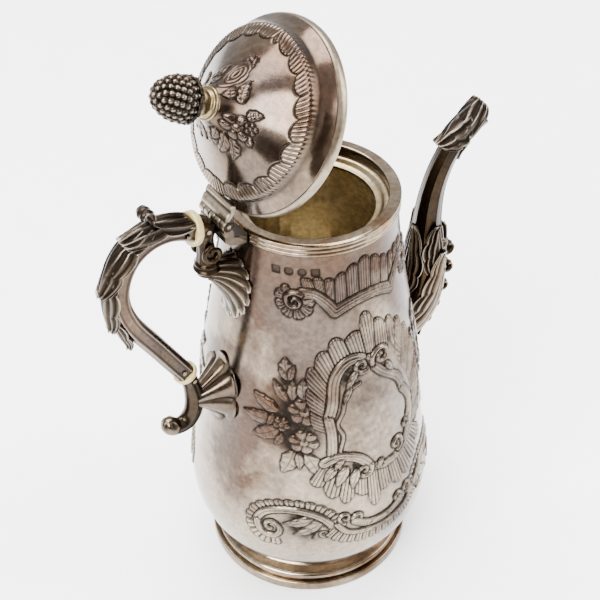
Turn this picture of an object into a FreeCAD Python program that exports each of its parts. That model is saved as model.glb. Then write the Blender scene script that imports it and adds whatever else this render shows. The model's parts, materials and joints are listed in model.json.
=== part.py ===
import FreeCAD, Part
import math
import os
from FreeCAD import Vector

# Silver coffee pot. Millimetres, +Z up, origin at the centre of the foot on the table.
# +X points to the spout, -X to the handle and the lid's hinge. The lid stands open.

# ---- body
RIM_HEIGHT = 205.0           # table to the flat top of the mouth
SEAT_HEIGHT = 16.5           # table to the underside of the body
BELLY_HEIGHT = 44.5
BELLY_RADIUS = 55.7
SEAT_TUCK = 17.7             # belly to where the body leaves the foot
NECK_RADIUS = 36.9
BODY_WALL = 1.0
# share of the way up from belly to neck, share of the belly's swell left there
BODY_TAPER = [(0.17, 0.874), (0.30, 0.736), (0.45, 0.624), (0.61, 0.43), (0.78, 0.21), (0.94, 0.03)]
STRAINER_HOLE_RADIUS = 1.5
STRAINER_PITCH = 5.0

# ---- mouth
RIM_OVERHANG = 0.8           # neck to the outside of the moulding
RIM_BAND = 5.1               # outside of the moulding to its bore
RIM_MOULDING_HEIGHT = 6.0
RIM_REEDS = 3
BEZEL_WIDTH = 5.4            # moulding's bore to the edge of the inner flange
BEZEL_DROP = 4.6             # rim's top to where the inner flange starts
BEZEL_SHEET = 1.2
BEZEL_FALL = 2.4             # drop across the inner flange

# ---- foot
FOOT_SPREAD = 9.5            # seat to the outside of the foot
FOOT_BAND_WIDTH = 4.9
FOOT_BAND_HEIGHT = 4.8
FOOT_BEAD_RADIUS = 1.9
PEDESTAL_SHEET = 1.2

# ---- spout
SPOUT_LIP_RISE = 2.5         # rim's top to the middle of the lip
SPOUT_RISE = 98.5            # root to lip
SPOUT_REACH = 89.5           # pot's axis to the middle of the lip
SPOUT_WALL = 1.3
SPOUT_ROOT_EMBED = 4.8       # how far the root's section lies inside the body's outline
# share of the reach, share of the rise, half depth, half width
SPOUT_STATIONS = [
    (0.165, 0.036, 14.0, 10.5),
    (0.337, 0.173, 10.5, 9.8),
    (0.378, 0.355, 8.5, 8.2),
    (0.385, 0.518, 6.2, 6.2),
    (0.440, 0.690, 5.2, 5.2),
    (0.580, 0.832, 4.7, 4.8),
    (0.790, 0.939, 4.6, 5.2),
    (1.000, 1.000, 4.6, 6.2),
]
SPOUT_ROOT_HALF_DEPTH = 18.0
SPOUT_ROOT_HALF_WIDTH = 11.0

# ---- handle
UPPER_COLLAR_SETBACK = 11.5  # hinge's axis to the upper insulator
UPPER_COLLAR_RISE = 5.5      # rim's top to the upper insulator
UPPER_COLLAR_TILT = 12.0     # degrees below level, towards the pot
UPPER_COLLAR_RADIUS = 7.3
UPPER_COLLAR_WIDTH = 3.0
LOWER_COLLAR_STANDOFF = 19.3  # body's outside to the lower insulator
LOWER_COLLAR_DROP = 75.0     # upper insulator to the lower one
LOWER_COLLAR_TILT = 60.0
LOWER_COLLAR_RADIUS = 5.4
LOWER_COLLAR_WIDTH = 2.6
TENON_RADIUS = 3.0
TENON_LENGTH = 6.0
LOWER_TENON_RADIUS = 2.1
FIT = 0.05                   # clearance round tenons and pins
GRIP_WALL = 1.3
GRIP_REACH = 33.0            # how far the grip bows out from the line between its collars
# share of the way from the upper to the lower collar, share of the reach
GRIP_PATH = [(-0.045, 0.28), (-0.04, 0.60), (0.03, 0.85), (0.15, 0.99), (0.27, 1.02),
             (0.39, 0.955), (0.52, 0.80), (0.64, 0.60), (0.82, 0.30)]
GRIP_UPPER_HALF_DEPTH = 4.8
GRIP_UPPER_HALF_WIDTH = 5.6
GRIP_LOWER_HALF_DEPTH = 4.5
GRIP_LOWER_HALF_WIDTH = 4.3
LEAF_THICKNESS = 2.2
LEAF_STATIONS = 7            # stations of the grip that the leaf covers
THUMB_SCROLL_RADIUS = 2.6
THUMB_SCROLL_LENGTH = 10.0
THUMB_SCROLL_RISE = 3.0      # leaf's back to the middle of the curl
THUMB_SCROLL_SHARE = 0.75    # place of the curl between the grip's second and third stations
HANDLE_PIN_RADIUS = 0.95
PIN_SHARE = 0.55             # place of a cross pin along its tenon

# ---- handle mounts
SOCKET_RADIUS = 5.4
SOCKET_ELBOW = 2.0           # upper collar's face to the middle of the elbow
SOCKET_DROP = 24.0           # upper collar to the ring above the shell
SOCKET_RING_SETBACK = 5.5    # hinge's axis to the ring
SOCKET_RING_RADIUS = 4.8
SOCKET_RING_WIRE = 1.1
SHELL_FALL = 14.0            # ring to the middle of the shell's foot
SHELL_HALF_WIDTH = 13.0
SHELL_HALF_HEIGHT = 18.0
SCROLL_RADIUS = 3.9
# below the lower collar: outward from it and down from it, radius as a share of SCROLL_RADIUS
SCROLL_PATH = [(-2.9, 10.1, 0.92), (-3.6, 17.5, 1.06), (-2.4, 24.4, 1.1), (1.6, 29.0, 1.05),
               (6.4, 29.4, 0.95)]
SCROLL_BALL_RADIUS = 4.7
SCROLL_BALL_OUT = 8.6
SCROLL_BALL_DROP = 27.4
LOWER_MOUNT_HALF_WIDTH = 13.0
LOWER_MOUNT_HALF_HEIGHT = 19.0
LOWER_MOUNT_NECK_DEPTH = 5.0
LOWER_MOUNT_NECK_WIDTH = 3.6

# ---- hinge
HINGE_SETBACK = 5.8          # lid's edge to the hinge's axis
HINGE_RISE = 6.7             # rim's top to the hinge's axis
HINGE_LENGTH = 18.7
KNUCKLES = 5
KNUCKLE_RADIUS = 2.0
KNUCKLE_GAP = 0.12
HINGE_PIN_RADIUS = 0.9
LEAF_CLEARANCE = 0.4         # leaf to the other leaf's knuckles
LEAF_PLATE = 2.2
LEAF_DEPTH = 3.4             # rim's top to the lower edge of the fixed leaf
LID_OPEN_ANGLE = 60.0

# ---- lid
LID_OVERHANG = 2.2           # outside of the rim to the lid's edge
LID_SEAT_GAP = 0.3           # lid's underside to the rim when closed
LID_EDGE_RISE = 2.4          # rim's top to the widest line of the lid's edge
LID_EDGE_WIDTH = 2.7
LID_EDGE_TOP = 2.9           # widest line to the top of the edge moulding
LID_SHEET = 1.1
LID_CYMA_WIDTH = 6.0         # lid's edge to its shoulder
LID_SHOULDER_RISE = 11.3
# share of the cyma's width outside the shoulder, share of the shoulder's rise
LID_CYMA = [(0.45, 0.45), (0.22, 0.62), (0.075, 0.85), (0.0, 1.0)]
# share of the way from the top's radius out to the shoulder, share of the rise above it
LID_SWEEP = [(0.88, 0.105), (0.77, 0.19), (0.49, 0.43), (0.24, 0.655), (0.09, 0.835), (0.0, 1.0)]
LID_TOP_RADIUS = 6.8
LID_TOP_RISE = 32.5
LID_BEZEL_CLEARANCE = 0.6
LID_BEZEL_DEPTH = 3.0
LID_BEZEL_SHEET = 1.1

# ---- finial
STEM_RADIUS = 6.6
STEM_HEIGHT = 6.2
STUD_RADIUS = 1.6
NUT_RADIUS = 4.0
NUT_HEIGHT = 2.4
CALYX_RADIUS = 7.0
CALYX_HEIGHT = 4.6
FRUIT_RADIUS = 8.7
FRUIT_HALF_LENGTH = 9.8

RIM_RADIUS = NECK_RADIUS + RIM_OVERHANG
RIM_BORE_RADIUS = RIM_RADIUS - RIM_BAND
MOUTH_RADIUS = RIM_BORE_RADIUS - BEZEL_WIDTH
SEAT_RADIUS = BELLY_RADIUS - SEAT_TUCK
FOOT_RADIUS = SEAT_RADIUS + FOOT_SPREAD
FOOT_BORE_RADIUS = FOOT_RADIUS - FOOT_BAND_WIDTH
LID_RADIUS = RIM_RADIUS + LID_OVERHANG
LID_EDGE_BORE = LID_RADIUS - LID_EDGE_WIDTH
LID_SHOULDER_RADIUS = LID_RADIUS - LID_CYMA_WIDTH
HINGE_OUT = LID_RADIUS + HINGE_SETBACK
UPPER_COLLAR_OUT = HINGE_OUT + UPPER_COLLAR_SETBACK
SOCKET_RING_OUT = HINGE_OUT + SOCKET_RING_SETBACK
UPPER_COLLAR_HEIGHT = RIM_HEIGHT + UPPER_COLLAR_RISE
LOWER_COLLAR_HEIGHT = UPPER_COLLAR_HEIGHT - LOWER_COLLAR_DROP
SPOUT_LIP_HEIGHT = RIM_HEIGHT + SPOUT_LIP_RISE
SPOUT_ROOT_HEIGHT = SPOUT_LIP_HEIGHT - SPOUT_RISE
HINGE_HEIGHT = RIM_HEIGHT + HINGE_RISE
HINGE_POINT = Vector(-HINGE_OUT, 0, HINGE_HEIGHT)
LID_PLANE = RIM_HEIGHT + LID_EDGE_RISE
NECK_TOP = RIM_HEIGHT - RIM_MOULDING_HEIGHT
BIG = 2 * (RIM_HEIGHT + SPOUT_REACH)
OVAL_POINTS = 12


# ---- shared helpers

def line(a, b):
    return Part.LineSegment(a, b).toShape()


def arc(a, middle, b):
    return Part.Arc(a, middle, b).toShape()


def curve(points):
    spline = Part.BSplineCurve()
    spline.interpolate(points)
    return spline


def rz(radius, height):
    return Vector(radius, 0, height)


def turned(edges):
    """Solid of revolution about Z from a closed outline of edges in the XZ plane."""
    face = Part.Face(Part.Wire(edges))
    solid = face.revolve(Vector(0, 0, 0), Vector(0, 0, 1), 360)
    return Part.Solid(solid) if solid.ShapeType == "Shell" else solid


def turned_outline(corners):
    points = [rz(r, z) for r, z in corners]
    points.append(points[0])
    return turned([line(a, b) for a, b in zip(points, points[1:])])


def rod(start, end, radius):
    return Part.makeCylinder(radius, (end - start).Length, start, end - start)


def section(centre, tangent, half_depth, half_width):
    """Oval across a path that lies in the XZ plane, always started on its +Y side."""
    across = Vector(-tangent.z, 0, tangent.x).normalize() * half_depth
    sideways = Vector(0, 1, 0) * half_width
    turns = [2 * math.pi * step / OVAL_POINTS for step in range(OVAL_POINTS)]
    spline = Part.BSplineCurve()
    spline.interpolate([centre + sideways * math.cos(t) + across * math.sin(t) for t in turns], True)
    return Part.Wire([spline.toShape()])


def loft(sections):
    return Part.makeLoft(sections, True, False)


def path_tangents(points):
    spline = curve(points)
    return [spline.tangent(spline.parameter(p))[0] for p in points]


def tube(points, depths, widths):
    """Loft of ovals square to a smooth path in the XZ plane."""
    tangents = path_tangents(points)
    return loft([section(*each) for each in zip(points, tangents, depths, widths)])


def half_space(side):
    return Part.makeBox(BIG, BIG, BIG, Vector(-BIG / 2, 0 if side > 0 else -BIG, 0))


def tilted(angle):
    """Direction in the XZ plane, from the handle towards the pot and below level."""
    return Vector(math.cos(math.radians(angle)), 0, -math.sin(math.radians(angle)))


def opened(shape):
    """Turns a piece of the closed lid about the hinge to where the lid stands open."""
    turned_shape = shape.copy()
    turned_shape.rotate(HINGE_POINT, Vector(0, -1, 0), LID_OPEN_ANGLE)
    return turned_shape


def save(name, shape):
    if not shape.isValid():
        print("not valid:", name)
    print(name, "solids", len(shape.Solids), "volume", round(shape.Volume, 1))
    shape.exportStep("parts/" + name + ".step")


# ---- body, mouth and foot

def body_stations():
    """Outline of the body from its seat on the foot, round the belly, to the neck."""
    points = []
    for angle in (0, 30, 60):
        swell = math.sin(math.radians(angle)) * (BELLY_RADIUS - SEAT_RADIUS)
        drop = math.cos(math.radians(angle)) * (BELLY_HEIGHT - SEAT_HEIGHT)
        points.append(rz(SEAT_RADIUS + swell, BELLY_HEIGHT - drop))
    points.append(rz(BELLY_RADIUS, BELLY_HEIGHT))
    for up, swell in BODY_TAPER:
        radius = NECK_RADIUS + swell * (BELLY_RADIUS - NECK_RADIUS)
        points.append(rz(radius, BELLY_HEIGHT + up * (NECK_TOP - BELLY_HEIGHT)))
    points.append(rz(NECK_RADIUS, NECK_TOP))
    return points


def inset(points, distance):
    """The same stations moved towards the axis, square to the curve through them."""
    return [p + Vector(-t.z, 0, t.x) * distance for p, t in zip(points, path_tangents(points))]


def body_radius(height):
    """Radius of the body's outside at a height."""
    spline = curve(body_stations())
    level = Part.Line(rz(0, height), rz(1, height))
    return spline.intersect(level)[0].X


def body_outside():
    outer = body_stations()
    top = rz(0, NECK_TOP)
    seat = rz(0, SEAT_HEIGHT)
    return turned([curve(outer).toShape(), line(outer[-1], top), line(top, seat), line(seat, outer[0])])


def body_shell():
    outer = body_stations()
    inner = inset(outer, BODY_WALL)
    inner[0] = rz(SEAT_RADIUS - BODY_WALL, SEAT_HEIGHT + BODY_WALL)
    inner[-1] = rz(NECK_RADIUS - BODY_WALL, NECK_TOP)
    floor = rz(0, SEAT_HEIGHT + BODY_WALL)
    seat = rz(0, SEAT_HEIGHT)
    shell = turned([curve(outer).toShape(), line(outer[-1], inner[-1]), curve(inner).toShape(),
                    line(inner[0], floor), line(floor, seat), line(seat, outer[0])])
    return shell.cut(strainer_holes())


def strainer_holes():
    """Hexagonal pattern of holes through the wall behind the spout's root."""
    radius = body_radius(SPOUT_ROOT_HEIGHT)
    holes = []
    for row in range(-2, 3):
        count = 3 - abs(row) % 2
        for place in range(count):
            side = (place - (count - 1) / 2) * STRAINER_PITCH
            height = SPOUT_ROOT_HEIGHT + row * STRAINER_PITCH * math.sin(math.radians(60))
            start = Vector(radius - SPOUT_ROOT_HALF_WIDTH, side, height)
            holes.append(rod(start, start + Vector(2 * SPOUT_ROOT_HALF_WIDTH, 0, 0), STRAINER_HOLE_RADIUS))
    return Part.Compound(holes)


def rim_moulding():
    reed = RIM_MOULDING_HEIGHT / RIM_REEDS
    root = RIM_RADIUS - reed / 3
    edges = [line(rz(RIM_BORE_RADIUS, NECK_TOP), rz(root, NECK_TOP))]
    for index in range(RIM_REEDS):
        low = NECK_TOP + index * reed
        edges.append(arc(rz(root, low), rz(RIM_RADIUS, low + reed / 2), rz(root, low + reed)))
    edges.append(line(rz(root, RIM_HEIGHT), rz(RIM_BORE_RADIUS, RIM_HEIGHT)))
    edges.append(line(rz(RIM_BORE_RADIUS, RIM_HEIGHT), rz(RIM_BORE_RADIUS, NECK_TOP)))
    return turned(edges)


def mouth_bezel():
    """Inner flange with an ogee section, soldered inside the moulding."""
    outside = RIM_HEIGHT - BEZEL_DROP
    top = [rz(RIM_BORE_RADIUS, outside),
           rz(RIM_BORE_RADIUS - 0.3 * BEZEL_WIDTH, outside - 0.12 * BEZEL_FALL),
           rz(RIM_BORE_RADIUS - 0.6 * BEZEL_WIDTH, outside - 0.75 * BEZEL_FALL),
           rz(MOUTH_RADIUS, outside - BEZEL_FALL)]
    under = [p - Vector(0, 0, BEZEL_SHEET) for p in top]
    return turned([curve(top).toShape(), line(top[-1], under[-1]), curve(under).toShape(),
                   line(under[0], top[0])])


def foot_bead_top():
    return FOOT_BAND_HEIGHT + 2 * FOOT_BEAD_RADIUS


def foot_bead_root():
    return FOOT_RADIUS - 2 * FOOT_BEAD_RADIUS + FOOT_BEAD_RADIUS / 2


def foot_rim():
    """Upright band with a half-round bead stepped in above it."""
    root = foot_bead_root()
    bead = FOOT_BEAD_RADIUS
    bevel = bead / 4
    edges = [line(rz(FOOT_BORE_RADIUS, 0), rz(FOOT_RADIUS, 0)),
             line(rz(FOOT_RADIUS, 0), rz(FOOT_RADIUS, FOOT_BAND_HEIGHT - bevel)),
             line(rz(FOOT_RADIUS, FOOT_BAND_HEIGHT - bevel), rz(FOOT_RADIUS - bevel, FOOT_BAND_HEIGHT)),
             line(rz(FOOT_RADIUS - bevel, FOOT_BAND_HEIGHT), rz(root, FOOT_BAND_HEIGHT)),
             arc(rz(root, FOOT_BAND_HEIGHT), rz(root + bead / 2, FOOT_BAND_HEIGHT + bead),
                 rz(root, foot_bead_top())),
             line(rz(root, foot_bead_top()), rz(FOOT_BORE_RADIUS, foot_bead_top())),
             line(rz(FOOT_BORE_RADIUS, foot_bead_top()), rz(FOOT_BORE_RADIUS, 0))]
    return turned(edges)


def foot_pedestal():
    """Cavetto sheet from the foot's bead up to the seat of the body."""
    low = rz(foot_bead_root(), foot_bead_top())
    high = rz(SEAT_RADIUS, SEAT_HEIGHT)
    hollow = rz(SEAT_RADIUS + 0.25 * (low.x - high.x), low.z + 0.35 * (high.z - low.z))
    sheet = Vector(PEDESTAL_SHEET, 0, 0)
    return turned([arc(low, hollow, high), line(high, high - sheet),
                   arc(high - sheet, hollow - sheet, low - sheet), line(low - sheet, low)])


# ---- spout

def spout_path():
    wall = body_radius(SPOUT_ROOT_HEIGHT)
    reach = SPOUT_REACH - wall
    rise = SPOUT_LIP_HEIGHT - SPOUT_ROOT_HEIGHT
    points = [rz(wall - SPOUT_ROOT_EMBED, SPOUT_ROOT_HEIGHT - SPOUT_WALL)]
    for out, up, _, _ in SPOUT_STATIONS:
        points.append(rz(wall + out * reach, SPOUT_ROOT_HEIGHT + up * rise))
    return points


def spout_solid(wall):
    """Outside of the spout when wall is 0, its channel when wall is the sheet's thickness."""
    points = spout_path()
    depths = [SPOUT_ROOT_HALF_DEPTH] + [station[2] for station in SPOUT_STATIONS]
    widths = [SPOUT_ROOT_HALF_WIDTH] + [station[3] for station in SPOUT_STATIONS]
    if wall > 0:
        before = (points[0] - points[1]).normalize() * wall
        beyond = (points[-1] - points[-2]).normalize() * wall
        points = [points[0] + before] + points[1:-1] + [points[-1] + beyond]
    return tube(points, [d - wall for d in depths], [w - wall for w in widths])


def spout_halves():
    casting = spout_solid(0).cut(body_outside()).cut(spout_solid(SPOUT_WALL))
    return casting.common(half_space(1)), casting.common(half_space(-1))


# ---- handle

def upper_collar():
    return rz(-UPPER_COLLAR_OUT, UPPER_COLLAR_HEIGHT)


def lower_collar():
    out = body_radius(LOWER_COLLAR_HEIGHT) + LOWER_COLLAR_STANDOFF
    return rz(-out, LOWER_COLLAR_HEIGHT)


def collar_disc(centre, tilt, radius, width):
    along = tilted(tilt)
    return rod(centre - along * (width / 2), centre + along * (width / 2), radius)


def collar_discs():
    """Room for both collars, to finish what butts against them square to their faces."""
    return [collar_disc(upper_collar(), UPPER_COLLAR_TILT, 2 * UPPER_COLLAR_RADIUS, UPPER_COLLAR_WIDTH),
            collar_disc(lower_collar(), LOWER_COLLAR_TILT, 2 * LOWER_COLLAR_RADIUS, LOWER_COLLAR_WIDTH)]


def tenon_bores():
    """Bores for the tenons on both sides of both collars."""
    bores = []
    for centre, tilt, width, radius in (
            (upper_collar(), UPPER_COLLAR_TILT, UPPER_COLLAR_WIDTH, TENON_RADIUS),
            (lower_collar(), LOWER_COLLAR_TILT, LOWER_COLLAR_WIDTH, LOWER_TENON_RADIUS)):
        reach = tilted(tilt) * (width / 2 + TENON_LENGTH + FIT)
        bores.append(rod(centre - reach, centre + reach, radius + FIT))
    return bores


def insulator(centre, tilt, radius, width, tenon_radius, tenon_length):
    """Collar with a rounded edge, and a tenon on each side."""
    along = tilted(tilt)
    disc = collar_disc(centre, tilt, radius, width)
    disc = disc.makeFillet(width / 4, [edge for edge in disc.Edges if edge.Curve.TypeId == "Part::GeomCircle"])
    reach = width / 2 + tenon_length
    return disc.fuse(rod(centre - along * reach, centre + along * reach, tenon_radius)).removeSplitter()


def upper_insulator():
    return insulator(upper_collar(), UPPER_COLLAR_TILT, UPPER_COLLAR_RADIUS, UPPER_COLLAR_WIDTH,
                     TENON_RADIUS, TENON_LENGTH).cut(handle_pins(FIT))


def lower_insulator():
    return insulator(lower_collar(), LOWER_COLLAR_TILT, LOWER_COLLAR_RADIUS, LOWER_COLLAR_WIDTH,
                     LOWER_TENON_RADIUS, TENON_LENGTH).cut(handle_pins(FIT))


def pin_at(collar, tilt, width, side, half_length, clearance):
    """Cross pin through a tenon; side is -1 in the grip and 1 in the pot's socket."""
    middle = collar + tilted(tilt) * (side * (width / 2 + TENON_LENGTH * PIN_SHARE))
    end = Vector(0, half_length, 0)
    return rod(middle - end, middle + end, HANDLE_PIN_RADIUS + clearance)


def handle_pin_set(clearance):
    upper = (upper_collar(), UPPER_COLLAR_TILT, UPPER_COLLAR_WIDTH)
    lower = (lower_collar(), LOWER_COLLAR_TILT, LOWER_COLLAR_WIDTH)
    return {
        "upper_grip_pin": pin_at(*upper, -1, GRIP_UPPER_HALF_WIDTH, clearance),
        "upper_socket_pin": pin_at(*upper, 1, SOCKET_RADIUS, clearance),
        "lower_grip_pin": pin_at(*lower, -1, GRIP_LOWER_HALF_WIDTH, clearance),
        "lower_socket_pin": pin_at(*lower, 1, SCROLL_RADIUS, clearance),
    }


def handle_pins(clearance):
    return Part.Compound(list(handle_pin_set(clearance).values()))


def grip_path():
    upper = upper_collar()
    lower = lower_collar()
    along = lower - upper
    out = Vector(along.z, 0, -along.x).normalize() * GRIP_REACH
    middle = [upper + along * share + out * bow for share, bow in GRIP_PATH]
    return [upper] + middle + [lower]


def grip_sizes(extra):
    count = len(GRIP_PATH) + 1
    depths = []
    widths = []
    for index in range(count + 1):
        share = index / count
        depths.append(GRIP_UPPER_HALF_DEPTH + share * (GRIP_LOWER_HALF_DEPTH - GRIP_UPPER_HALF_DEPTH) + extra)
        widths.append(GRIP_UPPER_HALF_WIDTH + share * (GRIP_LOWER_HALF_WIDTH - GRIP_UPPER_HALF_WIDTH) + extra)
    return depths, widths


def grip_solid(extra):
    depths, widths = grip_sizes(extra)
    return tube(grip_path(), depths, widths)


def handle_halves():
    casting = grip_solid(0).cut(grip_solid(-GRIP_WALL))
    casting = casting.cut(collar_discs() + tenon_bores() + [handle_pins(FIT)])
    casting = max(casting.Solids, key=lambda solid: solid.Volume)
    return casting.common(half_space(1)), casting.common(half_space(-1))


def leaf_back():
    """The leaf's own path: the grip's first stations, moved outwards on to its back."""
    stations = grip_path()[:LEAF_STATIONS]
    tangents = path_tangents(stations)
    return [p + Vector(t.z, 0, -t.x) * LEAF_THICKNESS for p, t in zip(stations, tangents)]


def thumb_leaf():
    depths, widths = grip_sizes(LEAF_THICKNESS / 3)
    back = leaf_back()
    leaf = tube(back, depths[:LEAF_STATIONS], widths[:LEAF_STATIONS])
    curl_start = back[1] + (back[2] - back[1]) * THUMB_SCROLL_SHARE + Vector(0, 0, depths[1])
    curl = curl_start + Vector(0, 0, THUMB_SCROLL_RISE)
    half = Vector(0, THUMB_SCROLL_LENGTH / 2, 0)
    scroll = rod(curl - half, curl + half, THUMB_SCROLL_RADIUS)
    stem_size = Vector(THUMB_SCROLL_RADIUS, THUMB_SCROLL_LENGTH, 2 * THUMB_SCROLL_RISE)
    corner = curl - Vector(stem_size.x / 2, stem_size.y / 2, stem_size.z)
    stem = Part.makeBox(stem_size.x, stem_size.y, stem_size.z, corner)
    leaf = leaf.fuse([scroll, stem]).cut([grip_solid(0), handle_pins(FIT)] + collar_discs())
    return max(leaf.Solids, key=lambda solid: solid.Volume)


# ---- handle mounts

def socket_ring():
    return rz(-SOCKET_RING_OUT, UPPER_COLLAR_HEIGHT - SOCKET_DROP)


def socket_elbow():
    return upper_collar() + tilted(UPPER_COLLAR_TILT) * (UPPER_COLLAR_WIDTH / 2 + SOCKET_ELBOW)


def upper_socket():
    """Ferrule, elbow and tapering leg down to the ring above the shell."""
    elbow = socket_elbow()
    ring = socket_ring()
    ferrule = rod(upper_collar(), elbow, SOCKET_RADIUS)
    knee = Part.makeSphere(SOCKET_RADIUS, elbow)
    leg = Part.makeCone(SOCKET_RADIUS, SOCKET_RING_RADIUS, (ring - elbow).Length, elbow, ring - elbow)
    band = Part.makeTorus(SOCKET_RING_RADIUS, SOCKET_RING_WIRE, ring, ring - elbow)
    solid = ferrule.fuse([knee, leg, band])
    solid = solid.cut(collar_discs() + tenon_bores() + [handle_pins(FIT), shell_solid(), hinge_room()])
    solid = solid.cut(hinge_body_leaf())
    return max(solid.Solids, key=lambda piece: piece.Volume)


def shell_solid():
    ring = socket_ring()
    leg = ring - socket_elbow()
    start = ring + leg.normalize() * SOCKET_RING_WIRE
    foot_height = ring.z - SHELL_FALL
    wall = body_radius(foot_height)
    foot = rz(-wall + 2 * BODY_WALL + SHELL_HALF_WIDTH ** 2 / (2 * wall), foot_height)
    middle = rz(-(wall + SOCKET_RING_OUT) / 2, ring.z - 0.62 * SHELL_FALL)
    sections = [section(start, Vector(0.2, 0, -1), SOCKET_RING_RADIUS, SOCKET_RING_RADIUS),
                section(middle, Vector(0.9, 0, -0.5), 0.55 * SHELL_HALF_HEIGHT, 0.66 * SHELL_HALF_WIDTH),
                section(foot, Vector(1, 0, 0), SHELL_HALF_HEIGHT, SHELL_HALF_WIDTH)]
    return loft(sections)


def upper_shell_mount():
    return shell_solid().cut(body_outside())


def scroll_path():
    collar = lower_collar()
    points = [collar]
    for out, down, _ in SCROLL_PATH:
        points.append(rz(collar.x - out, collar.z - down))
    return points


def lower_scroll():
    radii = [SCROLL_RADIUS] + [SCROLL_RADIUS * share for _, _, share in SCROLL_PATH]
    scroll = tube(scroll_path(), radii, radii)
    collar = lower_collar()
    ball = Part.makeSphere(SCROLL_BALL_RADIUS, rz(collar.x - SCROLL_BALL_OUT, collar.z - SCROLL_BALL_DROP))
    solid = scroll.fuse(ball).cut(collar_discs() + tenon_bores() + [handle_pins(FIT)])
    return max(solid.Solids, key=lambda piece: piece.Volume)


def lower_mount():
    """Flares from the scroll's back to a broad foot on the body."""
    neck = scroll_path()[2]
    wall = body_radius(neck.z)
    foot = rz(-wall + 2 * BODY_WALL + LOWER_MOUNT_HALF_WIDTH ** 2 / (2 * wall), neck.z)
    middle = rz(-wall - 0.45 * (-neck.x - wall), neck.z)
    inward = Vector(1, 0, 0)
    sections = [section(neck, inward, LOWER_MOUNT_NECK_DEPTH, LOWER_MOUNT_NECK_WIDTH),
                section(middle, inward, 1.4 * LOWER_MOUNT_NECK_DEPTH, 1.3 * LOWER_MOUNT_NECK_WIDTH),
                section(foot, inward, LOWER_MOUNT_HALF_HEIGHT, LOWER_MOUNT_HALF_WIDTH)]
    return loft(sections).cut([body_outside(), lower_scroll()] + collar_discs())


# ---- hinge

def knuckle_span(index):
    pitch = HINGE_LENGTH / KNUCKLES
    start = -HINGE_LENGTH / 2 + index * pitch
    return start + KNUCKLE_GAP / 2, start + pitch - KNUCKLE_GAP / 2


def knuckle(index):
    low, high = knuckle_span(index)
    along = Vector(0, 1, 0)
    return rod(HINGE_POINT + along * low, HINGE_POINT + along * high, KNUCKLE_RADIUS)


def prism(corners, low, high):
    """Plate between two Y planes with its outline given from the hinge's axis."""
    points = [HINGE_POINT + Vector(u, low, v) for u, v in corners]
    points.append(points[0])
    return Part.Face(Part.makePolygon(points)).extrude(Vector(0, high - low, 0))


def hinge_bore():
    end = Vector(0, HINGE_LENGTH, 0)
    return rod(HINGE_POINT - end, HINGE_POINT + end, HINGE_PIN_RADIUS + FIT)


def hinge_room():
    """Clear space round all the knuckles."""
    half = Vector(0, HINGE_LENGTH / 2 + LEAF_CLEARANCE, 0)
    return rod(HINGE_POINT - half, HINGE_POINT + half, KNUCKLE_RADIUS + LEAF_CLEARANCE)


def leaf_notches(indices):
    """Room round the other leaf's knuckles."""
    notches = []
    for index in indices:
        low, high = knuckle_span(index)
        start = HINGE_POINT + Vector(0, low - KNUCKLE_GAP, 0)
        end = HINGE_POINT + Vector(0, high + KNUCKLE_GAP, 0)
        notches.append(rod(start, end, KNUCKLE_RADIUS + LEAF_CLEARANCE))
    return Part.Compound(notches)


def hinge_body_leaf():
    """Fixed leaf below the knuckles, shaped to the rim and down to the upper socket."""
    inner = HINGE_OUT - NECK_RADIUS
    low = -HINGE_RISE - LEAF_DEPTH
    under_lid = -HINGE_RISE - LID_SEAT_GAP
    corners = [(-KNUCKLE_RADIUS, 0), (-KNUCKLE_RADIUS, low + LEAF_PLATE / 2), (-KNUCKLE_RADIUS / 2, low),
               (inner + 2 * LEAF_PLATE, low), (inner + 2 * LEAF_PLATE, under_lid),
               (KNUCKLE_RADIUS, under_lid), (KNUCKLE_RADIUS - 0.3, -KNUCKLE_RADIUS), (0, 0)]
    plate = prism(corners, -HINGE_LENGTH / 2, HINGE_LENGTH / 2)
    plate = plate.cut(leaf_notches(range(1, KNUCKLES, 2)))
    leaf = plate.fuse([knuckle(index) for index in range(0, KNUCKLES, 2)])
    leaf = leaf.cut(Part.makeCylinder(RIM_RADIUS, RIM_HEIGHT, Vector(0, 0, NECK_TOP)))
    return leaf.cut(Part.makeCylinder(NECK_RADIUS, RIM_HEIGHT)).cut(body_outside()).cut(hinge_bore())


def lid_leaf_outline():
    """Outline from the hinge's axis: over the knuckles, a groove, and a strip on the lid."""
    end = HINGE_OUT - LID_RADIUS + LEAF_PLATE
    top = KNUCKLE_RADIUS
    groove = KNUCKLE_RADIUS + LEAF_CLEARANCE + LEAF_PLATE * 0.6
    seat = LID_EDGE_RISE - HINGE_RISE + 0.6
    return [(0, top), (groove, top - 0.3), (groove + 0.2, top - 1.0), (groove + 0.6, top - 0.4), (end, top - 1.2),
            (end, seat + 1.2), (HINGE_OUT - LID_RADIUS, seat), (groove - 0.6, top - LEAF_PLATE), (0, 0)]


def hinge_lid_leaf():
    plate = prism(lid_leaf_outline(), -HINGE_LENGTH / 2, HINGE_LENGTH / 2)
    plate = plate.cut(leaf_notches(range(0, KNUCKLES, 2)))
    leaf = plate.fuse([knuckle(index) for index in range(1, KNUCKLES, 2)])
    return leaf.cut(lid_outside()).cut(hinge_bore())


def hinge_pin():
    half = Vector(0, HINGE_LENGTH / 2, 0)
    return rod(HINGE_POINT - half, HINGE_POINT + half, HINGE_PIN_RADIUS)


# ---- lid, modelled closed

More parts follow.
